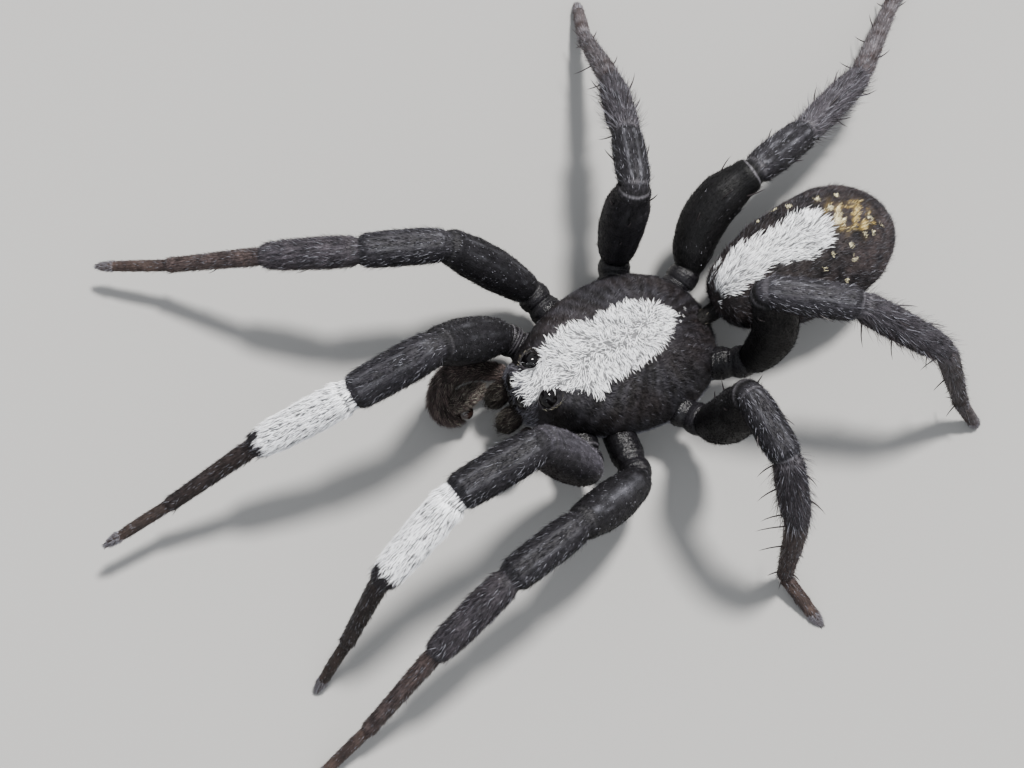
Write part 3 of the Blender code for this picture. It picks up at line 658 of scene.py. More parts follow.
def abdomen_tint(p):
    g = ripple(p, 0.6, 41) * 0.5 + ripple(p, 0.2, 42) * 0.5
    base = lerp(BLACK * 0.9, lerp(SLATE, UMBER, 0.5) * 0.8, np.clip(0.40 + 0.6 * g, 0, 1)[..., None])
    base = base * lerp(0.62, 1.6, np.clip((p[..., 1] - 4.0) / 1.6, 0, 1))[..., None]
    low = np.clip((1.3 - p[..., 2]) / 0.6, 0, 1)[..., None]
    base = lerp(base, UMBER * 0.35, low * 0.6)
    base = lerp(base, GOLD * 0.5, gold_amount(p)[..., None] * 0.8)
    w = np.clip(abdomen_white(p) / 0.05, 0, 1)[..., None]
    return lerp(base, WHITE * 0.10, w)


def tibia_white(key, t, p):
    """Share of white on the front tibiae: all but a dark end cut in a V."""
    if key[1] != "1":
        return np.zeros_like(t)
    edge = 0.86 + 0.05 * ripple(p, 0.25, 51)
    return np.clip((edge - t) / 0.03, 0, 1)


# how light each segment is painted, coxa to tarsus, beside the deep black of a femur: partly each segment's own tone,
# partly painted light and shade, so the two legs of a pair differ
LEG_TONE_AND_PAINTED_LIGHT = {
    "L1": (0.30, 0.35, 2.30, 0.82, 1.0, 1.20, 1.5), "R1": (0.30, 0.35, 0.56, 1.10, 1.0, 1.20, 1.5),
    "L2": (0.30, 0.35, 0.48, 0.85, 2.10, 3.0, 2.3), "R2": (0.30, 0.35, 0.52, 1.20, 3.0, 3.4, 2.8),
    "L3": (0.35, 0.45, 0.38, 0.90, 2.0, 2.3, 2.5), "R3": (0.30, 0.35, 0.90, 0.75, 2.1, 2.5, 2.8),
    "L4": (0.30, 0.35, 0.30, 1.30, 2.1, 1.8, 2.0), "R4": (0.30, 0.35, 0.24, 0.90, 2.6, 2.6, 2.6),
}


def leg_tint(key, seg, t, p, n, dorsal_dot):
    """Colour of the cuticle and of flat hair along a leg."""
    number = int(key[1])
    g = np.clip(0.5 + 0.5 * ripple(p, 0.35, 61 + number), 0, 1)[..., None]
    seg_ = seg[..., None]
    d = np.clip(dorsal_dot, -1, 1)[..., None]
    base = lerp(BLACK * 0.75, BLACK * 1.6, g)
    # painted sheen: a slaty light painted along the upper side, partly the slaty tone of the hair; brown beneath
    top = np.clip((d - 0.10) / 0.7, 0, 1)
    slate_and_sheen = np.where(seg_ == 2, 0.10 if number >= 3 else 0.50, np.where(seg_ == 3, 0.50, 0.40))
    base = lerp(base, SLATE * 0.9, top * slate_and_sheen)
    under = np.clip((-d - 0.0) / 0.6, 0, 1)
    base = lerp(base, BROWN * 0.5, under * 0.6)
    brown = np.where(seg_ == 5, 0.7, np.where(seg_ == 6, 0.9, np.where(seg_ == 4, 0.15, 0.0)))
    # the tibiae, metatarsi and tarsi of R3, L4 and R4 are painted a paler grey: partly their own tone, partly a painted
    # highlight
    far = lerp(UMBER, ASH * 0.35, 0.55) * 0.6 if number >= 3 and key != "L3" else UMBER * 0.45
    base = lerp(base, lerp(BROWN * 0.6, far, g), brown)
    # painted light and shade: each segment's lightness from the table, partly its own tone and partly how it was lit
    shade = np.array(LEG_TONE_AND_PAINTED_LIGHT[key])[np.clip(seg.astype(int), 0, 6)][..., None]
    # combed fur: light and dark stripes run along each segment
    off = np.arccos(np.clip(dorsal_dot, -1, 1))
    comb = np.sin(off * 17.0 + 2.2 * ripple(p, 0.7, 57)) * 0.34 + np.sin(off * 41.0 + 2.0 * ripple(p, 0.4, 58)) * 0.28
    base = base * shade * (1 + comb * (seg >= 2))[..., None]
    # two bare lines along the top of femur, patella and the start of the tibia
    bare = bare_line(seg, t, dorsal_dot)[..., None]
    # painted light: the left front femur is painted lighter towards its base and on its top, and darker beneath
    if key == "L1":
        base = base * np.where(seg_ == 2, lerp(1.35, 0.80, np.clip(t / 0.75, 0, 1))[..., None] * lerp(0.55, 1.25, top), 1.0)
    if key == "L2":
        # a slaty band along the top of the femur, partly a pale crest of the fur and partly a painted highlight
        band = np.exp(-(off / math.radians(9)) ** 2) * (seg == 2) * np.clip((t - 0.12) / 0.15, 0, 1)
        base = lerp(base, ASH * 0.50, (band * np.clip(0.75 + 0.5 * ripple(p, 0.3, 59), 0, 1))[..., None])
    strong = 0.80 if number <= 2 else np.where(seg_ == 3, 1.0, 0.10)
    base = lerp(base, ASH * np.where(seg_ == 3, 0.42 if number <= 2 else 0.75 if key in ("R3", "R4") else 0.45, 0.30), bare * np.clip(0.5 + 0.6 * ripple(p, 0.5, 55), 0, 1)[..., None] * strong)
    # pale joint skin at the knee, at the ends of the femur and of the patella, painted lighter on the upper side as if
    # lit from above; the pale lines on the coxae and trochanters of the front legs are painted glints on their folds
    ring = joint_ring_and_glint(seg, t)[..., None]
    pale = np.where(seg_ <= 1, 1.1 if number == 1 else 0.12, 0.95 if number >= 3 else 0.20)
    base = lerp(base, lerp(UMBER, ASH, 0.5) * pale, ring * np.clip(0.25 + d, 0, 1) * np.where(seg_ <= 1, 0.7, 1.0))
    w = np.where(seg == 4, tibia_white(key, t, p), 0.0)[..., None]
    return lerp(base, WHITE * 0.12, w)


def bare_line(seg, t, dorsal_dot):
    """Two thin hairless lines each side of the top of a leg."""
    off = np.arccos(np.clip(dorsal_dot, -1, 1)) - math.radians(21)
    on = ((seg == 2) & (t > 0.18) & (t < 0.93)) | ((seg == 3) & (t > 0.06) & (t < 0.92))
    return np.exp(-(off / np.radians(np.where(seg == 3, 3.3, 2.8))) ** 2) * on


def joint_ring_and_glint(seg, t):
    a = np.where(seg == 2, np.exp(-((t - 0.973) / 0.0035) ** 2), 0)
    b = np.where(seg == 3, np.maximum(0.45 * np.exp(-((t - 0.03) / 0.008) ** 2), 0.8 * np.exp(-((t - 0.985) / 0.008) ** 2)), 0)
    c = np.where(seg == 4, 0.5 * np.exp(-((t - 0.03) / 0.010) ** 2), 0)
    c = np.maximum(c, np.where(seg == 1, np.maximum(0.6 * np.exp(-((t - 0.15) / 0.035) ** 2) + 0.5 * np.exp(-((t - 0.38) / 0.03) ** 2), 0.9 * np.exp(-((t - 0.80) / 0.03) ** 2)), 0))
    c = np.maximum(c, np.where(seg == 0, 0.5 * np.exp(-((t - 0.92) / 0.015) ** 2), 0))
    return np.maximum(np.maximum(a, b), c)


# ================================================================ build
pieces = []
SKIN_PILE = Pile()
cara = carapace()
abdo = abdomen()
legs = {k: leg_surface(k) for k in LEG_POSE}

PALP_R = ((0.58, -1.92, 0.84, 0.13), (0.70, -2.06, 0.85, 0.15), (0.80, -2.32, 0.96, 0.175), (0.90, -2.64, 1.05, 0.195),
          (0.91, -2.93, 1.02, 0.21), (0.82, -3.09, 0.91, 0.215), (0.73, -3.15, 0.79, 0.225), (0.60, -3.19, 0.65, 0.255),
          (0.45, -3.14, 0.53, 0.265), (0.31, -3.05, 0.44, 0.21), (0.22, -2.97, 0.39, 0.10), (0.185, -2.94, 0.37, 0.015))
PALP_L = ((0.60, -1.92, 0.84, 0.13), (0.72, -2.06, 0.85, 0.15), (0.82, -2.18, 0.88, 0.17), (0.90, -2.32, 0.86, 0.185),
          (0.93, -2.43, 0.78, 0.19), (0.91, -2.50, 0.68, 0.19), (0.88, -2.56, 0.60, 0.19), (0.83, -2.61, 0.49, 0.19),
          (0.76, -2.63, 0.41, 0.17), (0.69, -2.62, 0.35, 0.12), (0.64, -2.61, 0.32, 0.06), (0.62, -2.60, 0.31, 0.015))
palps = {
    "right": tube("palp_right", [(pro(-x, y, z), r) for x, y, z, r in PALP_R], fine=12),
    "left": tube("palp_left", [(pro(x, y, z), r) for x, y, z, r in PALP_L], fine=12),
}
# the right club folds back along the inside of its limb, towards the jaws
LOBE = ((0.515, -2.40, 0.965, 0.015), (0.51, -2.43, 0.965, 0.07), (0.49, -2.51, 0.95, 0.125), (0.47, -2.61, 0.92, 0.165), (0.45, -2.75, 0.88, 0.19),
        (0.44, -2.88, 0.83, 0.195), (0.44, -3.00, 0.75, 0.17), (0.46, -3.08, 0.68, 0.13), (0.47, -3.12, 0.65, 0.06))
palps["lobe"] = tube("palp_lobe", [(pro(-x, y, z), r) for x, y, z, r in reversed(LOBE)], fine=10)
chels = {}
for word, s in (("left", 1), ("right", -1)):
    rows = [(pro(s * x, y, z), r) for x, y, z, r in ((0.24, -1.98, 1.28, 0.12), (0.255, -2.08, 1.19, 0.17), (0.262, -2.17, 1.02, 0.205),
                                                     (0.262, -2.23, 0.82, 0.205), (0.258, -2.24, 0.62, 0.180), (0.25, -2.21, 0.47, 0.13),
                                                     (0.245, -2.19, 0.42, 0.03))]
    chels[word] = tube("chelicera_" + word, rows, up=(0, 1.0, 0.2))
spin = [tube("spin_%d" % i, rows, m=20) for i, rows in enumerate(
    [[((ABD_X + s * a, 5.80, 0.93), 0.06), ((ABD_X + s * a, 5.95, 0.87), 0.085), ((ABD_X + s * b, 6.12, 0.79), 0.075), ((ABD_X + s * b, 6.21, 0.75), 0.045), ((ABD_X + s * b, 6.225, 0.745), 0.01)]
     for s in (1, -1) for a, b in ((0.10, 0.11),)] +
    [[((ABD_X + s * a, 5.82, 0.86), 0.05), ((ABD_X + s * a, 5.98, 0.78), 0.07), ((ABD_X + s * b, 6.10, 0.70), 0.06), ((ABD_X + s * b, 6.16, 0.66), 0.03), ((ABD_X + s * b, 6.17, 0.655), 0.01)]
     for s in (1, -1) for a, b in ((0.13, 0.15),)])]
stalk = tube("stalk", [((0.08, 1.70, 1.22), 0.16), ((0.07, 1.95, 1.24), 0.15), ((0.06, 2.15, 1.30), 0.17), ((0.05, 2.35, 1.38), 0.20)], up=(0, 0.1, 1))


def leg_rough(s):
    r = np.where(s.seg <= 1, 0.24, 0.55)
    return np.broadcast_to(r[:, None], s.P.shape[:2])


def leg_skin_tint(s):
    seg = np.broadcast_to(s.seg[:, None], s.P.shape[:2])
    t = np.broadcast_to(s.t[:, None], s.P.shape[:2])
    dd = (s.N * s.dorsal[:, None]).sum(-1)
    # the cuticle is darker than the hair over it, and shows in the gaps
    return leg_tint(s.key, seg, t, s.P, s.N, dd) * np.where(seg >= 2, 0.6, 1.0)[..., None]


def flat_tint(s, a, b, seed):
    g = np.clip(0.5 + 0.5 * ripple(s.P, 0.2, seed), 0, 1)[..., None]
    return lerp(np.asarray(a), np.asarray(b), g)


# the skin's map: legs in the lower part, bodies above
rects = {}
for i, k in enumerate(LEG_POSE):
    rects[k] = (0.01, 0.01 + 0.065 * i, 0.99, 0.01 + 0.065 * i + 0.06)
SKIN_PILE.surf(cara, (0.01, 0.54, 0.49, 0.99), carapace_tint(cara.P))
SKIN_PILE.surf(abdo, (0.51, 0.64, 0.99, 0.99), abdomen_tint(abdo.P))
for k, s in legs.items():
    SKIN_PILE.surf(s, rects[k], leg_skin_tint(s), leg_rough(s))
small = [palps["left"], palps["right"], palps["lobe"], chels["left"], chels["right"], stalk] + spin
for i, s in enumerate(small):
    u = 0.51 + 0.048 * i
    # painted shade: the stalk is painted much darker, as it lies in shade between carapace and abdomen
    SKIN_PILE.surf(s, (u, 0.54, u + 0.044, 0.62), flat_tint(s, BROWN * 0.2, BROWN * 0.5, 70 + i) * (0.15 if s.name == "stalk" else 1.0), 0.6)
skin = SKIN_PILE.object("skin", SKIN)
NODES = list(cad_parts)
EYE_NODES = [n for n in NODES if n.startswith("eye_")]
BULBS = ["palp_left_bulb", "palp_right_bulb"]
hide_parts(*[n for n in NODES if n not in EYE_NODES and n not in BULBS])
pieces.append(skin)

# ---------------------------------------------------------------- eyes, bulbs
EYE = plain("eye_lens", (0.002, 0.0017, 0.002), 0.05, Specular_IOR_Level=0.22)
for label, (x, y, z, r) in EYES.items():
    for s, word in ((1, "left"), (-1, "right")):
        node = "eye_%s_%s" % (label, word)
        bpy.ops.mesh.primitive_uv_sphere_add(segments=48, ring_count=32, radius=r * MM, location=Vector(place(pro(s * x, y, z))))
        ob = bpy.context.object
        ob.name = "lens_%s_%s" % (label, word)
        ob.data.shade_smooth()
        ob.data.materials.append(EYE)
        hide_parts(node)
        pieces.append(ob)
BULB = plain("bulb_cuticle", (0.012, 0.0068, 0.0056), 0.05, Specular_IOR_Level=0.45)
for word, s, (x, y, z), half in (("right", -1, (0.27, -2.85, 0.62), (0.17, 0.155, 0.14)), ("left", 1, (0.69, -2.46, 0.36), (0.155, 0.155, 0.135))):
    bpy.ops.mesh.primitive_uv_sphere_add(segments=40, ring_count=24, radius=MM, location=Vector(place(pro(s * x, y, z))))
    ob = bpy.context.object
    ob.scale = half
    bpy.ops.object.transform_apply(location=False, rotation=False, scale=True)
    ob.name = "bulb_" + word
    ob.data.shade_smooth()
    ob.data.materials.append(BULB)
    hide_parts("palp_%s_bulb" % word)
    pieces.append(ob)

# ================================================================ coat
QUICK = 1.0


def jitter(k, spread):
    return rng.normal(size=k) * spread


def turn(lie, normal, angle):
    """The lie turned about the normal."""
    side = np.cross(normal, lie)
    return lie * np.cos(angle)[:, None] + side * np.sin(angle)[:, None]


def patch_uv(smp, rect):
    u0, v0, u1, v1 = rect
    return np.stack((u0 + (u1 - u0) * smp["u"], v0 + (v1 - v0) * smp["v"]), -1)


def finish_coat(pile, name, mat):
    print(name, "tris", pile.tris())
    ob = pile.object(name, mat)
    pieces.append(ob)
    return ob


FULL = (0.01, 0.01, 0.99, 0.99)


def eye_clear(p, room=0.03):
    """True away from the eyes."""
    ok = np.ones(len(p), bool)
    for x, y, z, r in EYES.values():
        for s in (1, -1):
            ok &= np.linalg.norm(p - pro(s * x, y, z), axis=-1) > r + room
    return ok


# ---------------------------------------------------------------- carapace
def coat_carapace():
    pile = Pile()
    smp = cara.sample(int(43000 * QUICK))
    p, n = smp["root"], smp["n"]
    d = carapace_white(p)
    x, y = unpro(p)
    ok = eye_clear(p, -0.015) & (d < 0.02) & (p[:, 2] > 0.75)
    face = np.clip((-1.55 - y) / 0.4, 0, 1)
    # black velvet lies outward and back from the middle of the thorax
    away = p - pro(0.0, -0.6, 1.9)
    away[:, 1] += 0.8
    lie = turn(unit(away), n, 0.3 * ripple(p, 0.5, 83) + jitter(len(p), 0.30))
    tint = carapace_tint(p) * np.exp(jitter(len(p), 0.42))[:, None]
    # pale hairs: partly real pale hairs, partly painted glints of light on the velvet
    pale = rng.random(len(p)) < 0.03
    tint = np.where(pale[:, None], ASH * rng.uniform(0.2, 0.7, len(p))[:, None], tint)
    rim = (np.abs(p[:, 2] - RIM_Z) < 0.035) & (rng.random(len(p)) < 0.5) & (y > -1.3)
    tint = np.where(rim[:, None], ASH * rng.uniform(0.4, 0.9, len(p))[:, None], tint)
    length = lerp(0.085, 0.055, face) * rng.uniform(0.7, 1.3, len(p))
    k = ok
    pile.strands(p[k], lie[k], n[k], length[k], 0.0095, np.radians(20) + jitter(k.sum(), 0.12), 0.2, tint[k], patch_uv(smp, FULL)[k], segs=1)
    # white hairs of the blaze, longer, curved, spraying outward and forward
    smp = cara.sample(int(40000 * QUICK))
    p, n = smp["root"], smp["n"]
    d = carapace_white(p)
    k = eye_clear(p, 0.02) & (d > 0) & (p[:, 2] > 1.3)
    k &= rng.random(len(p)) < np.clip(0.45 + d / 0.10, 0, 1)
    p, n, d = p[k], n[k], d[k]
    uv = patch_uv(smp, FULL)[k]
    # they lie away from the middle line, forward at the head and back at the rear
    dx = p[:, 0] + 0.22
    dy = p[:, 1] - np.clip(p[:, 1], -0.9, 0.75)
    along_ = np.where(p[:, 1] < -0.2, (p[:, 1] + 0.2) * 0.42, np.where(p[:, 1] > 0.5, (p[:, 1] - 0.5) * 0.4, 0))
    away = np.stack((dx * 1.2, dy * 1.2 + along_ - 0.06, np.zeros(len(p))), -1)
    near = np.exp(-(dx ** 2) / 0.02) * np.clip(1 - np.abs(along_) / 0.3, 0, 1)
    lie = turn(unit(away), n, 0.60 * ripple(p, 0.60, 81) + 0.45 * ripple(p, 0.22, 84) + rng.normal(size=len(p)) * (0.26 + 0.9 * near))
    length = rng.uniform(0.09, 0.18, len(p))
    dark = rng.random(len(p)) < 0.20
    lie = turn(unit(lie - n * (lie * n).sum(-1, keepdims=True)), n, jitter(len(p), 0.16))
    shade = np.where(dark, rng.uniform(0.03, 0.30, len(p)), rng.uniform(0.95, 1.15, len(p)))[:, None]
    pile.strands(p, lie, n, length * np.where(dark, 0.75, 1.0), np.where(dark, 0.013, rng.uniform(0.015, 0.020, len(p))), np.radians(22) + jitter(len(p), 0.20), 0.8, WHITE * shade, uv, segs=2, flat=0.30, root_shade=0.25,
                 tip_shade=1.1, smooth=False)
    # a small white spot beside the rear end of the blaze, and a few more hairs there
    smp = cara.sample(60000)
    p, n = smp["root"], smp["n"]
    spot = np.zeros(len(p), bool)
    for cx, cy, rr in SPOTS:
        spot |= np.hypot(p[:, 0] - cx, p[:, 1] - cy) < rr
    k = spot & (p[:, 2] > 1.2)
    m = int(k.sum())
    pile.strands(p[k], turn(unit(p[k] - pro(0.0, 0.6, 1.0)), n[k], jitter(m, 0.5)), n[k], rng.uniform(0.035, 0.06, m), 0.018, 0.5, 0.3, WHITE * rng.uniform(0.7, 1.1, m)[:, None],
                 patch_uv(smp, FULL)[k], segs=1, smooth=False)
    eye_fringes_and_gleam(pile)
    return finish_coat(pile, "coat_carapace", HAIR)


# small white spots: sideways, along, radius (mm)
SPOTS = ((-0.20, 1.574, 0.024), (-0.13, 1.39, 0.020), (-0.07, 1.44, 0.016), (0.02, 1.32, 0.018), (-0.05, 1.53, 0.015))


def on_carapace(q):
    """Ring and column of the carapace grid nearest to each place."""
    flat = cara.P.reshape(-1, 3)
    out = []
    for c in q:
        out.append(int(np.argmin(((flat - c) ** 2).sum(-1))))
    return np.array(out)


def eye_fringes_and_gleam(pile):
    """Pale olive hairs round each rear eye, which stand for a painted gleam of light in the eye's rim, and grey hairs
    down the brow.
    """
    flat, normal = cara.P.reshape(-1, 3), cara.N.reshape(-1, 3)
    for s in (1, -1):
        ex, ey, ez, er = EYES["posterior_lateral"]
        mid = pro(s * ex, ey, ez)
        k = 60
        a = np.radians(rng.uniform(-60, 60, k) if s > 0 else rng.uniform(-80, 200, k))
        q = mid + np.stack((s * np.cos(a), np.sin(a), np.zeros(k)), -1) * (er + rng.uniform(0.01, 0.07, k))[:, None]
        i = on_carapace(q)
        p, n = flat[i], normal[i]
        spin_ = np.cross(n, p - mid) * s
        lie = unit(spin_) + unit(p - mid) * 0.35
        # painted gleam: pale olive to grey hairs stand for light shining in the rim of the eye
        tint = lerp(STRAW * 0.5, ASH * 1.0, rng.random(k)[:, None]) * (0.10 + 0.70 * rng.random(k) ** 2)[:, None]
        uv = np.stack((0.01 + 0.98 * (i // cara.m) / (cara.n - 1), 0.01 + 0.98 * (i % cara.m) / cara.m), -1)
        pile.strands(p, lie, n, rng.uniform(0.06, 0.11, k), 0.011, np.radians(18) + jitter(k, 0.1), 0.4, tint, uv, segs=2)
        if s < 0:
            k = 130
            a = np.radians(rng.uniform(-115, 115, k))
            q = mid + np.stack((np.cos(a), np.sin(a) + 0.15, np.zeros(k)), -1) * (er + rng.uniform(0.0, 0.08, k))[:, None]
            i = on_carapace(q)
            p, n = flat[i], normal[i]
            over = unit(mid + np.array((0, 0, er * 0.9)) - p)
            lie = over + unit(np.cross(n, p - mid)) * 0.8
            uv = np.stack((0.01 + 0.98 * (i // cara.m) / (cara.n - 1), 0.01 + 0.98 * (i % cara.m) / cara.m), -1)
            pile.strands(p, lie, n, rng.uniform(0.10, 0.19, k), rng.uniform(0.013, 0.017, k), np.radians(46) + jitter(k, 0.15), 0.8,
                         WHITE * rng.uniform(0.35, 1.05, k)[:, None], uv, segs=3, flat=0.30, root_shade=0.3, smooth=False)
    # brow and face between and below the eyes
    smp = cara.sample(int(26000 * QUICK))
    p, n = smp["root"], smp["n"]
    x, y = unpro(p)
    k = (y < -1.82) & (p[:, 2] > 1.0) & eye_clear(p, 0.015)
    p, n = p[k], n[k]
    lie = np.stack((0.15 * np.sign(x[k]), np.full(len(p), -1.0), np.full(len(p), -0.35)), -1)
    tint = lerp(SLATE * 1.6, ASH * 0.75, (rng.random(len(p)) ** 2)[:, None])
    pile.strands(p, turn(unit(lie - n * (lie * n).sum(-1, keepdims=True)), n, jitter(len(p), 0.3)), n, rng.uniform(0.07, 0.15, len(p)), 0.012,
                 np.radians(26) + jitter(len(p), 0.15), 0.4, tint, patch_uv(smp, FULL)[k], segs=2)


def coat_abdomen():
    pile = Pile()
    smp = abdo.sample(int(42000 * QUICK))
    p, n, t = smp["root"], smp["n"], smp["t"]
    d = abdomen_white(p)
    k = d < 0.02
    lie = turn(t, n, jitter(len(p), 0.30))
    tint = abdomen_tint(p) * np.exp(jitter(len(p), 0.42))[:, None]
    gold = gold_amount(p) > rng.random(len(p)) * 0.8 + 0.1
    straw = np.clip(straw_amount(p) * 1.1 + rng.random(len(p)) ** 1.8 * 0.8, 0, 1)
    tint = np.where(gold[:, None], lerp(GOLD, STRAW * 1.1, straw[:, None]), tint)
    # pale hairs: partly real pale hairs, partly painted glints of light on the velvet
    pale = rng.random(len(p)) < 0.03
    tint = np.where(pale[:, None], ASH * rng.uniform(0.25, 0.8, len(p))[:, None], tint)
    length = rng.uniform(0.07, 0.12, len(p))
    pile.strands(p[k], lie[k], n[k], length[k], np.where(gold, 0.018, 0.0095)[k], (np.radians(22) + jitter(len(p), 0.14))[k], 0.2, tint[k], patch_uv(smp, FULL)[k], segs=1)
    # a thin haze of longer grey-brown hairs that stands off the outline
    smp = abdo.sample(int(3600 * QUICK))
    p, n, t = smp["root"], smp["n"], smp["t"]
    k = abdomen_white(p) < -0.05
    m = int(k.sum())
    tint = lerp(BROWN * 0.8, ASH * 0.30, rng.random(m)[:, None])
    pile.strands(p[k], turn(t, n, jitter(len(p), 0.3))[k], n[k], rng.uniform(0.10, 0.18, m), 0.0085, np.radians(42) + jitter(m, 0.2), 0.4, tint, patch_uv(smp, FULL)[k], segs=2)
    # small pale-yellow dots in two rows
    many = abdo.sample(90000)
    for cx, cy, rr in DOTS:
        smp = many
        p = smp["root"]
        k = (np.hypot(p[:, 0] - cx, p[:, 1] - cy) < rr * rng.uniform(0.4, 1.1, len(p))) & (p[:, 2] > 1.3)
        pp, n = p[k], smp["n"][k]
        pile.strands(pp, turn(smp["t"][k], n, jitter(len(pp), 0.4)), n, rng.uniform(0.06, 0.09, len(pp)), 0.022, 0.45, 0.3,
                     STRAW * rng.uniform(0.7, 1.2, len(pp))[:, None], patch_uv(smp, FULL)[k], segs=1, smooth=False)
    smp = abdo.sample(int(36000 * QUICK))
    p, n = smp["root"], smp["n"]
    d = abdomen_white(p)
    k = (d > 0) & (rng.random(len(p)) < np.clip(0.35 + d / 0.10, 0, 1))
    p, n, t = p[k], n[k], smp["t"][k]
    uv = patch_uv(smp, FULL)[k]
    # they all lie back, and climb where the abdomen drops to the stalk
    part = np.where(p[:, 1] > 2.34, 1.0, 0.45)
    out = np.stack((np.sign(p[:, 0] + 0.2) * 0.35 * np.clip(np.abs(p[:, 0] + 0.2) / 0.3, 0, 1), part, np.where(p[:, 1] > 2.34, 0.0, 0.6)), -1)
    lie = turn(unit(out), n, 0.25 * ripple(p, 0.4, 82) + jitter(len(p), 0.18))
    dark = rng.random(len(p)) < 0.17
    pile.strands(p, lie, n, rng.uniform(0.11, 0.20, len(p)) * np.where(dark, 0.75, 1.0), np.where(dark, 0.014, rng.uniform(0.015, 0.021, len(p))), np.radians(20) + jitter(len(p), 0.16), 0.45,
                 WHITE * np.where(dark, rng.uniform(0.03, 0.30, len(p)), rng.uniform(0.95, 1.15, len(p)))[:, None], uv, segs=2,
                 flat=0.30, root_shade=0.25, tip_shade=1.1, smooth=False)
    return finish_coat(pile, "coat_abdomen", HAIR)


# small pale spots: sideways and along the abdomen, and their radius (mm)
DOTS = ((-1.02, 4.09, 0.045), (-0.85, 4.21, 0.055), (-0.69, 4.70, 0.06), (-0.59, 5.06, 0.05), (-0.39, 4.74, 0.06), (-0.16, 4.72, 0.07), (0.43, 4.67, 0.05),
        (0.65, 4.63, 0.06), (0.37, 5.04, 0.045), (0.40, 5.23, 0.045), (0.31, 5.51, 0.045), (0.40, 4.27, 0.035), (0.56, 4.01, 0.035), (0.10, 5.32, 0.05),
        (-0.92, 3.60, 0.035), (0.90, 4.35, 0.04))


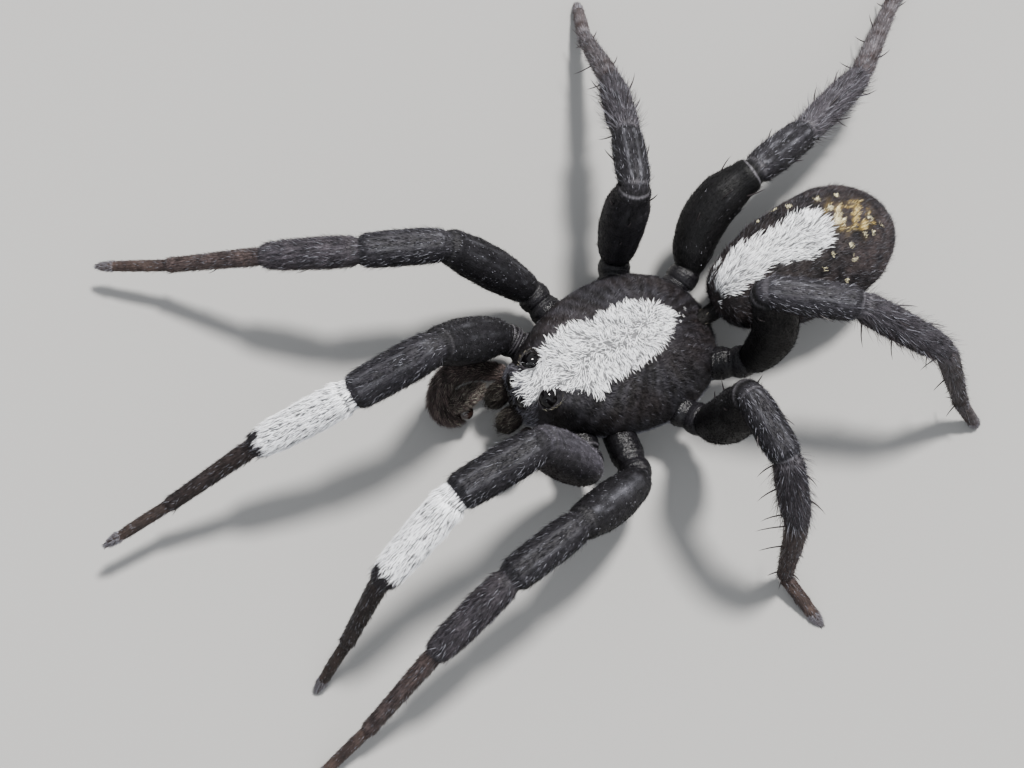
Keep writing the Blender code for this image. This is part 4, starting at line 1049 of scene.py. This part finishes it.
def coat_leg(key):
    s = legs[key]
    number = int(key[1])
    pile = Pile()
    smp = s.sample(int(25000 * QUICK))
    p, n, t, seg, st = smp["root"], smp["n"], smp["t"], smp["seg"], smp["st"]
    ring = np.clip((smp["u"] * (s.n - 1)).astype(int), 0, s.n - 1)
    dd = (n * s.dorsal[ring]).sum(-1)
    white = np.where(seg == 4, tibia_white(key, st, p), 0.0)
    bald = np.maximum(bare_line(seg, st, dd), joint_ring_and_glint(seg, st) * (1.0 if number >= 3 else 0.5))
    k = (white < 0.5) & ~((seg <= 1) & (rng.random(len(p)) < 0.30)) & (p[:, 2] > 0.02) & (bald < rng.random(len(p)) * 0.9 + 0.05)
    tint = leg_tint(key, seg, st, p, n, dd) * np.exp(jitter(len(p), 0.55))[:, None]
    plain_femur = (seg <= 2) & ((number >= 3) | (seg < 2))
    # painted glints: pale grey hairs, only on the upper side, stand partly for sparkles of light on the hair and partly
    # for real pale hairs
    pale = (rng.random(len(p)) < np.where(seg == 6, 0.12, np.where(plain_femur, 0.004, np.where(seg == 2, 0.05, 0.08)))) & (dd > -0.3)
    tint = np.where(pale[:, None], ASH * rng.uniform(0.15, 1.1, len(p))[:, None], tint)
    length = np.choose(seg.astype(int), (0.05, 0.05, 0.070, 0.080, 0.095, 0.080, 0.055)) * rng.uniform(0.7, 1.35, len(p))
    lift = np.radians(np.choose(seg.astype(int), (16, 16, 17, 18, 22, 20, 22))) + jitter(len(p), 0.13)
    lie = turn(t, n, jitter(len(p), 0.18))
    uv = patch_uv(smp, FULL)
    pile.strands(p[k], lie[k], n[k], length[k], np.where(pale, 0.012, 0.0095)[k], lift[k], 0.2, tint[k], uv[k], segs=1)
    # longer loose hairs
    smp = s.sample(int(3400 * QUICK))
    p, n, t, seg, st = smp["root"], smp["n"], smp["t"], smp["seg"], smp["st"]
    ring = np.clip((smp["u"] * (s.n - 1)).astype(int), 0, s.n - 1)
    dd = (n * s.dorsal[ring]).sum(-1)
    white = np.where(seg == 4, tibia_white(key, st, p), 0.0)
    k = (white < 0.5) & (seg >= 2) & (p[:, 2] > 0.05) & (rng.random(len(p)) < np.where((seg == 2) & (dd > -0.2), 0.35, 1.0))
    tint = leg_tint(key, seg, st, p, n, dd) * 1.2
    # pale hairs, mostly on the upper side: partly real pale hairs, partly painted glints of light
    pale = rng.random(len(p)) < np.where((dd > 0.1) & (seg >= 3), 0.24, np.where((seg == 2) & (number <= 2), 0.05, 0.012))
    tint = np.where(pale[:, None], ASH * rng.uniform(0.20, 0.9, len(p))[:, None], tint)
    rear = number >= 3
    long_ = np.choose(seg.astype(int), (0.08, 0.08, 0.11, 0.15, 0.26 if rear else 0.16, 0.16 if rear else 0.12, 0.09))
    # a fringe stands off the sides of the rear tibiae
    side_on = np.clip(1 - np.abs(dd) * 1.4, 0, 1)
    length = long_ * rng.uniform(0.6, 1.3, len(p)) * (1 + (0.35 * side_on if rear else 0) * (seg == 4))
    lift = np.radians(np.choose(seg.astype(int), (20, 20, 26, 27, 36 if rear else 26, 30 if rear else 22, 26))) + jitter(len(p), 0.18)
    lie = turn(t, n, jitter(len(p), 0.22))
    k &= bare_line(seg, st, dd) < 0.3
    pile.strands(p[k], lie[k], n[k], length[k], 0.0095, lift[k], 0.5, tint[k], patch_uv(smp, FULL)[k], segs=2)
    # pale fuzz round the claws
    w = np.zeros((s.n - 1, s.m))
    w[(s.seg[:-1] == 6) & (s.t[:-1] > 0.72)] = 1.0
    smp = s.sample(int(650 * QUICK), w)
    p, n = smp["root"], smp["n"]
    k = p[:, 2] > 0.03
    tint = lerp(UMBER * 1.5, ASH * 1.2, rng.random(len(p))[:, None])
    pile.strands(p[k], turn(smp["t"], n, jitter(len(p), 0.25))[k], n[k], rng.uniform(0.07, 0.12, len(p))[k], 0.010, (np.radians(20) + jitter(len(p), 0.14))[k], 0.2, tint[k],
                 patch_uv(smp, FULL)[k], segs=1)
    # white tibia
    if number == 1:
        w = np.zeros((s.n - 1, s.m))
        w[s.seg[:-1] == 4] = 1.0
        w[(s.seg[:-1] == 4) & (s.t[:-1] < 0.10)] = 1.3
        w[(s.seg[:-1] == 3) & (s.t[:-1] > 0.975)] = 1.8
        smp = s.sample(int(6900 * QUICK), w)
        p, n, t, seg, st = smp["root"], smp["n"], smp["t"], smp["seg"], smp["st"]
        white = np.where(seg == 4, tibia_white(key, st, p), np.where(seg == 3, 1.0, 0.0))
        k = (white > 0.5) & (rng.random(len(p)) < 0.94)
        p, n, t, seg, st = p[k], n[k], t[k], seg[k], st[k]
        uv = patch_uv(smp, FULL)[k]
        # the first hairs root under the edge of the patella and are white all along
        ring = np.clip((smp["u"][k] * (s.n - 1)).astype(int), 0, s.n - 2)
        last = (seg == 3)[:, None]
        t = np.where(last, unit(s.c[np.minimum(ring + 6, s.n - 1)] - s.c[np.maximum(ring - 2, 0)]), t)
        n = np.where(last, unit(p - s.c[ring]), n)
        dark = rng.random(len(p)) < 0.18
        shade = np.where(dark, rng.uniform(0.05, 0.28, len(p)), rng.uniform(0.85, 1.1, len(p)))[:, None]
        lie = turn(t, n, jitter(len(p), 0.15))
        long_ = rng.uniform(0.12, 0.22, len(p)) * np.where(dark, 0.75, 1.0)
        wide = np.where(dark, 0.014, rng.uniform(0.017, 0.024, len(p)))
        lift = np.radians(12) + jitter(len(p), 0.09)
        first = (seg == 3) | (st < 0.08)
        for g, root, more in ((first, 0.60, 0.0), (~first, 0.35, 0.0)):
            pile.strands(p[g], lie[g], n[g], long_[g], wide[g], lift[g] + more, 0.25, (WHITE * shade)[g], uv[g], segs=2, flat=0.30, root_shade=root, tip_shade=1.05, smooth=False)
    return finish_coat(pile, "coat_leg_" + key, HAIR)


# spines: segment, place along it, angle round it (degrees, 90 is on top), length
SPINES = {
    2: ((0.42, 90, 0.30), (0.68, 84, 0.32), (0.83, 20, 0.34), (0.80, 158, 0.34)),
    3: ((0.55, 10, 0.30), (0.50, 170, 0.30)),
    4: ((0.13, -60, 0.60), (0.15, -120, 0.60), (0.48, -58, 0.72), (0.52, -122, 0.66), (0.90, -65, 0.60), (0.93, -115, 0.55), (0.38, 8, 0.48),
        (0.74, 4, 0.52), (0.33, 172, 0.46), (0.70, 176, 0.52), (0.30, 80, 0.38)),
    5: ((0.07, -60, 0.58), (0.09, -120, 0.55), (0.43, -55, 0.50), (0.47, -125, 0.52), (0.93, -50, 0.32), (0.95, -130, 0.32), (0.94, 20, 0.30), (0.95, 160, 0.30),
        (0.28, 12, 0.42), (0.60, 165, 0.42)),
}


def bristles():
    pile = Pile()
    for row, (key, s) in enumerate(legs.items()):
        front = key[1] in "12"
        for seg, spines in SPINES.items():
            rings = np.where(s.seg == seg)[0]
            for t, deg, length in spines:
                i = rings[np.argmin(np.abs(s.t[rings] - t))]
                a = math.radians(deg + rng.uniform(-14, 14))
                t_ = rng.uniform(0.7, 1.15)
                # the front legs bear only short spines, on their under side
                if front and deg > -20:
                    continue
                out = s.side[i] * math.cos(a) + s.dorsal[i] * math.sin(a)
                p = s.c[i] + out * s.r[i]
                j = (a / (2 * math.pi)) % 1.0
                uv = np.array([[0.01 + 0.98 * i / (s.n - 1), 0.01 + 0.98 * (row + j) / 8]])
                keep = length * t_ * (0.62 if front else 1.12)
                if p[2] < 0.1:
                    continue
                tang = unit(s.c[min(i + 1, s.n - 1)] - s.c[max(i - 1, 0)])
                pile.strands(p[None], tang[None], out[None], keep, 0.028 if front else 0.038, math.radians(rng.uniform(24, 32) if front else rng.uniform(44, 60) if deg < -20 else rng.uniform(24, 40)), 0.35,
                             (BLACK * 1.2 + BROWN * 0.4)[None], uv, segs=4, flat=1.0, root_shade=0.9)
    ob = pile.object("spines", BRISTLE)
    pieces.append(ob)


def claws():
    """Two curved claws at the end of each foot."""
    pile = Pile()
    for row, (key, s) in enumerate(legs.items()):
        tip, along_ = s.c[-2], unit(s.c[-1] - s.c[-6])
        for w in (1, -1):
            lie = unit(along_ + s.side[-3] * 0.28 * w)
            up = s.dorsal[-3]
            root = tip + up * 0.012 + s.side[-3] * 0.018 * w - along_ * 0.03
            uv = np.array([[0.98, 0.01 + 0.98 * (row + 0.5 + 0.1 * w) / 8]])
            pile.strands(root[None], lie[None], up[None], 0.13, 0.034, math.radians(22), 1.25, (BROWN * 0.8)[None], uv, segs=5, flat=1.0, root_shade=1.0)
    ob = pile.object("claws", BRISTLE)
    pieces.append(ob)


def coat_face(name, parts):
    """Palps, jaws, stalk and spinnerets."""
    pile = Pile()
    for row, s in enumerate(parts):
        rect = (0.01, 0.01 + 0.98 * row / len(parts), 0.99, 0.01 + 0.98 * (row + 0.9) / len(parts))
        is_palp, is_chel = s.name.startswith("palp"), s.name.startswith("chel")
        lobe = s.name == "palp_lobe"
        smp = s.sample(int((3600 if lobe else 6500 if is_palp else 3000 if is_chel else 900) * QUICK))
        p, n, t, v = smp["root"], smp["n"], smp["t"], smp["u"]
        # painted shade: the stalk's hairs are painted much darker, as it lies in shade between carapace and abdomen
        tint = flat_tint_at(p, BROWN * 0.25, BROWN * 0.85, 90 + row) * np.exp(jitter(len(p), 0.4))[:, None] * np.array((0.92, 1.04, 1.08)) * (5.0 if lobe else 5.6 if is_palp else 0.2 if s.name == "stalk" else 1.1)
        pale = rng.random(len(p)) < (0.25 if lobe else 0.06 if is_palp else 0.05 if is_chel else 0.02)
        tint = np.where(pale[:, None], lerp(ASH, STRAW, 0.4) * rng.uniform(0.10, 0.6, len(p))[:, None], tint)
        ln = 0.10 if lobe else (0.10 + 0.05 * np.clip((v - 0.35) / 0.3, 0, 1)) if is_palp else 0.075 if is_chel else 0.07
        lie = turn(t, n, jitter(len(p), 0.35 if is_chel else 0.25))
        if is_chel:
            lie = lie + np.array((0, -0.9, -0.2))
        pile.strands(p, lie, n, ln * rng.uniform(0.6, 1.3, len(p)), 0.0105, np.radians(28 if is_palp else 24) + jitter(len(p), 0.16), 0.3, tint,
                     patch_uv(smp, rect), segs=2)
        if is_palp or is_chel:
            # a brush of longer hair inside the bend of the palp, and down the
            # front of each jaw
            smp = s.sample(int(1500 * QUICK))
            p, n, t, v = smp["root"], smp["n"], smp["t"], smp["u"]
            if is_palp:
                inward = unit(pro(0.30 * (1 if "left" in s.name else -1), -2.75, 0.75) - p)
                k = ((n * inward).sum(-1) > 0.1) & (v > 0.25) & (v < 0.95)
                lie = t * 0.8 + inward * 0.7
            else:
                k = (n @ np.array((0, -1.0, 0.3)) > 0.2) & (p[:, 2] > 0.5)
                lie = np.stack((rng.normal(size=len(p)) * 0.3, np.full(len(p), -1.0), np.full(len(p), -0.25)), -1)
            k = k & (rng.random(len(p)) < (0.45 if is_palp else 0.30))
            m = int(k.sum())
            tint = lerp(BROWN * 0.5, lerp(ASH, STRAW, 0.35) * (0.40 if lobe else 0.22), (rng.random(m) ** 2.2)[:, None])
            pile.strands(p[k], lie[k], n[k], rng.uniform(0.12, 0.22, m), 0.0095, np.radians(30) + jitter(m, 0.2), 0.5, tint, patch_uv(smp, rect)[k], segs=3)
    return finish_coat(pile, name, HAIR)


def flat_tint_at(p, a, b, seed):
    g = np.clip(0.5 + 0.5 * ripple(p, 0.2, seed), 0, 1)[..., None]
    return lerp(np.asarray(a), np.asarray(b), g)


coat_carapace()
coat_abdomen()
for key in legs:
    coat_leg(key)
coat_face("coat_palps", [palps["left"], palps["right"], palps["lobe"]])
coat_face("coat_jaws", [chels["left"], chels["right"], stalk] + spin)
bristles()
claws()
print("coat tris in all", sum(len(o.data.polygons) for o in pieces if o.name.startswith(("coat", "spines", "claws"))))

# ================================================================ stage
for ob in pieces:
    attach(ob, "root")

bpy.ops.mesh.primitive_plane_add(size=0.6, location=(0, 0, 0))
floor = bpy.context.object
floor.name = "floor"
floor.data.materials.append(plain("floor_pale", (0.215, 0.212, 0.207), 0.9))

world = bpy.data.worlds.new("studio")
bpy.context.scene.world = world
world.use_nodes = True
world.node_tree.nodes["Background"].inputs["Color"].default_value = (0.93, 0.96, 1.0, 1)
world.node_tree.nodes["Background"].inputs["Strength"].default_value = 1.06


def sun(name, toward, strength, angle, color=(1, 1, 1)):
    data = bpy.data.lights.new(name, "SUN")
    data.energy = strength
    data.angle = math.radians(angle)
    data.color = color
    ob = bpy.data.objects.new(name, data)
    ob.rotation_euler = Vector(toward).to_track_quat("Z", "Y").to_euler()
    bpy.context.scene.collection.objects.link(ob)


sun("key", (-0.24, 0.34, 1.0), 11.0, 9, (1.0, 0.98, 0.95))
sun("fill", (0.7, -0.5, 0.9), 1.2, 60, (0.92, 0.96, 1.0))

right = np.array((0.5078, 0.855, 0.1057))
up = np.array((-0.8384, 0.4622, 0.2889))
ahead = np.array((-0.1982, 0.2353, -0.9515))
eye = place((6.386, -10.155, 34.575))
cam_data = bpy.data.cameras.new("camera")
cam = bpy.data.objects.new("camera", cam_data)
bpy.context.scene.collection.objects.link(cam)
rot = Matrix([[right[i], up[i], -ahead[i]] for i in range(3)]).to_4x4()
rot.translation = Vector(eye)
cam.matrix_world = rot
cam_data.sensor_fit = "HORIZONTAL"
cam_data.angle = math.radians(30)
cam_data.clip_start = 0.0005
cam_data.clip_end = 5.0
bpy.context.scene.camera = cam
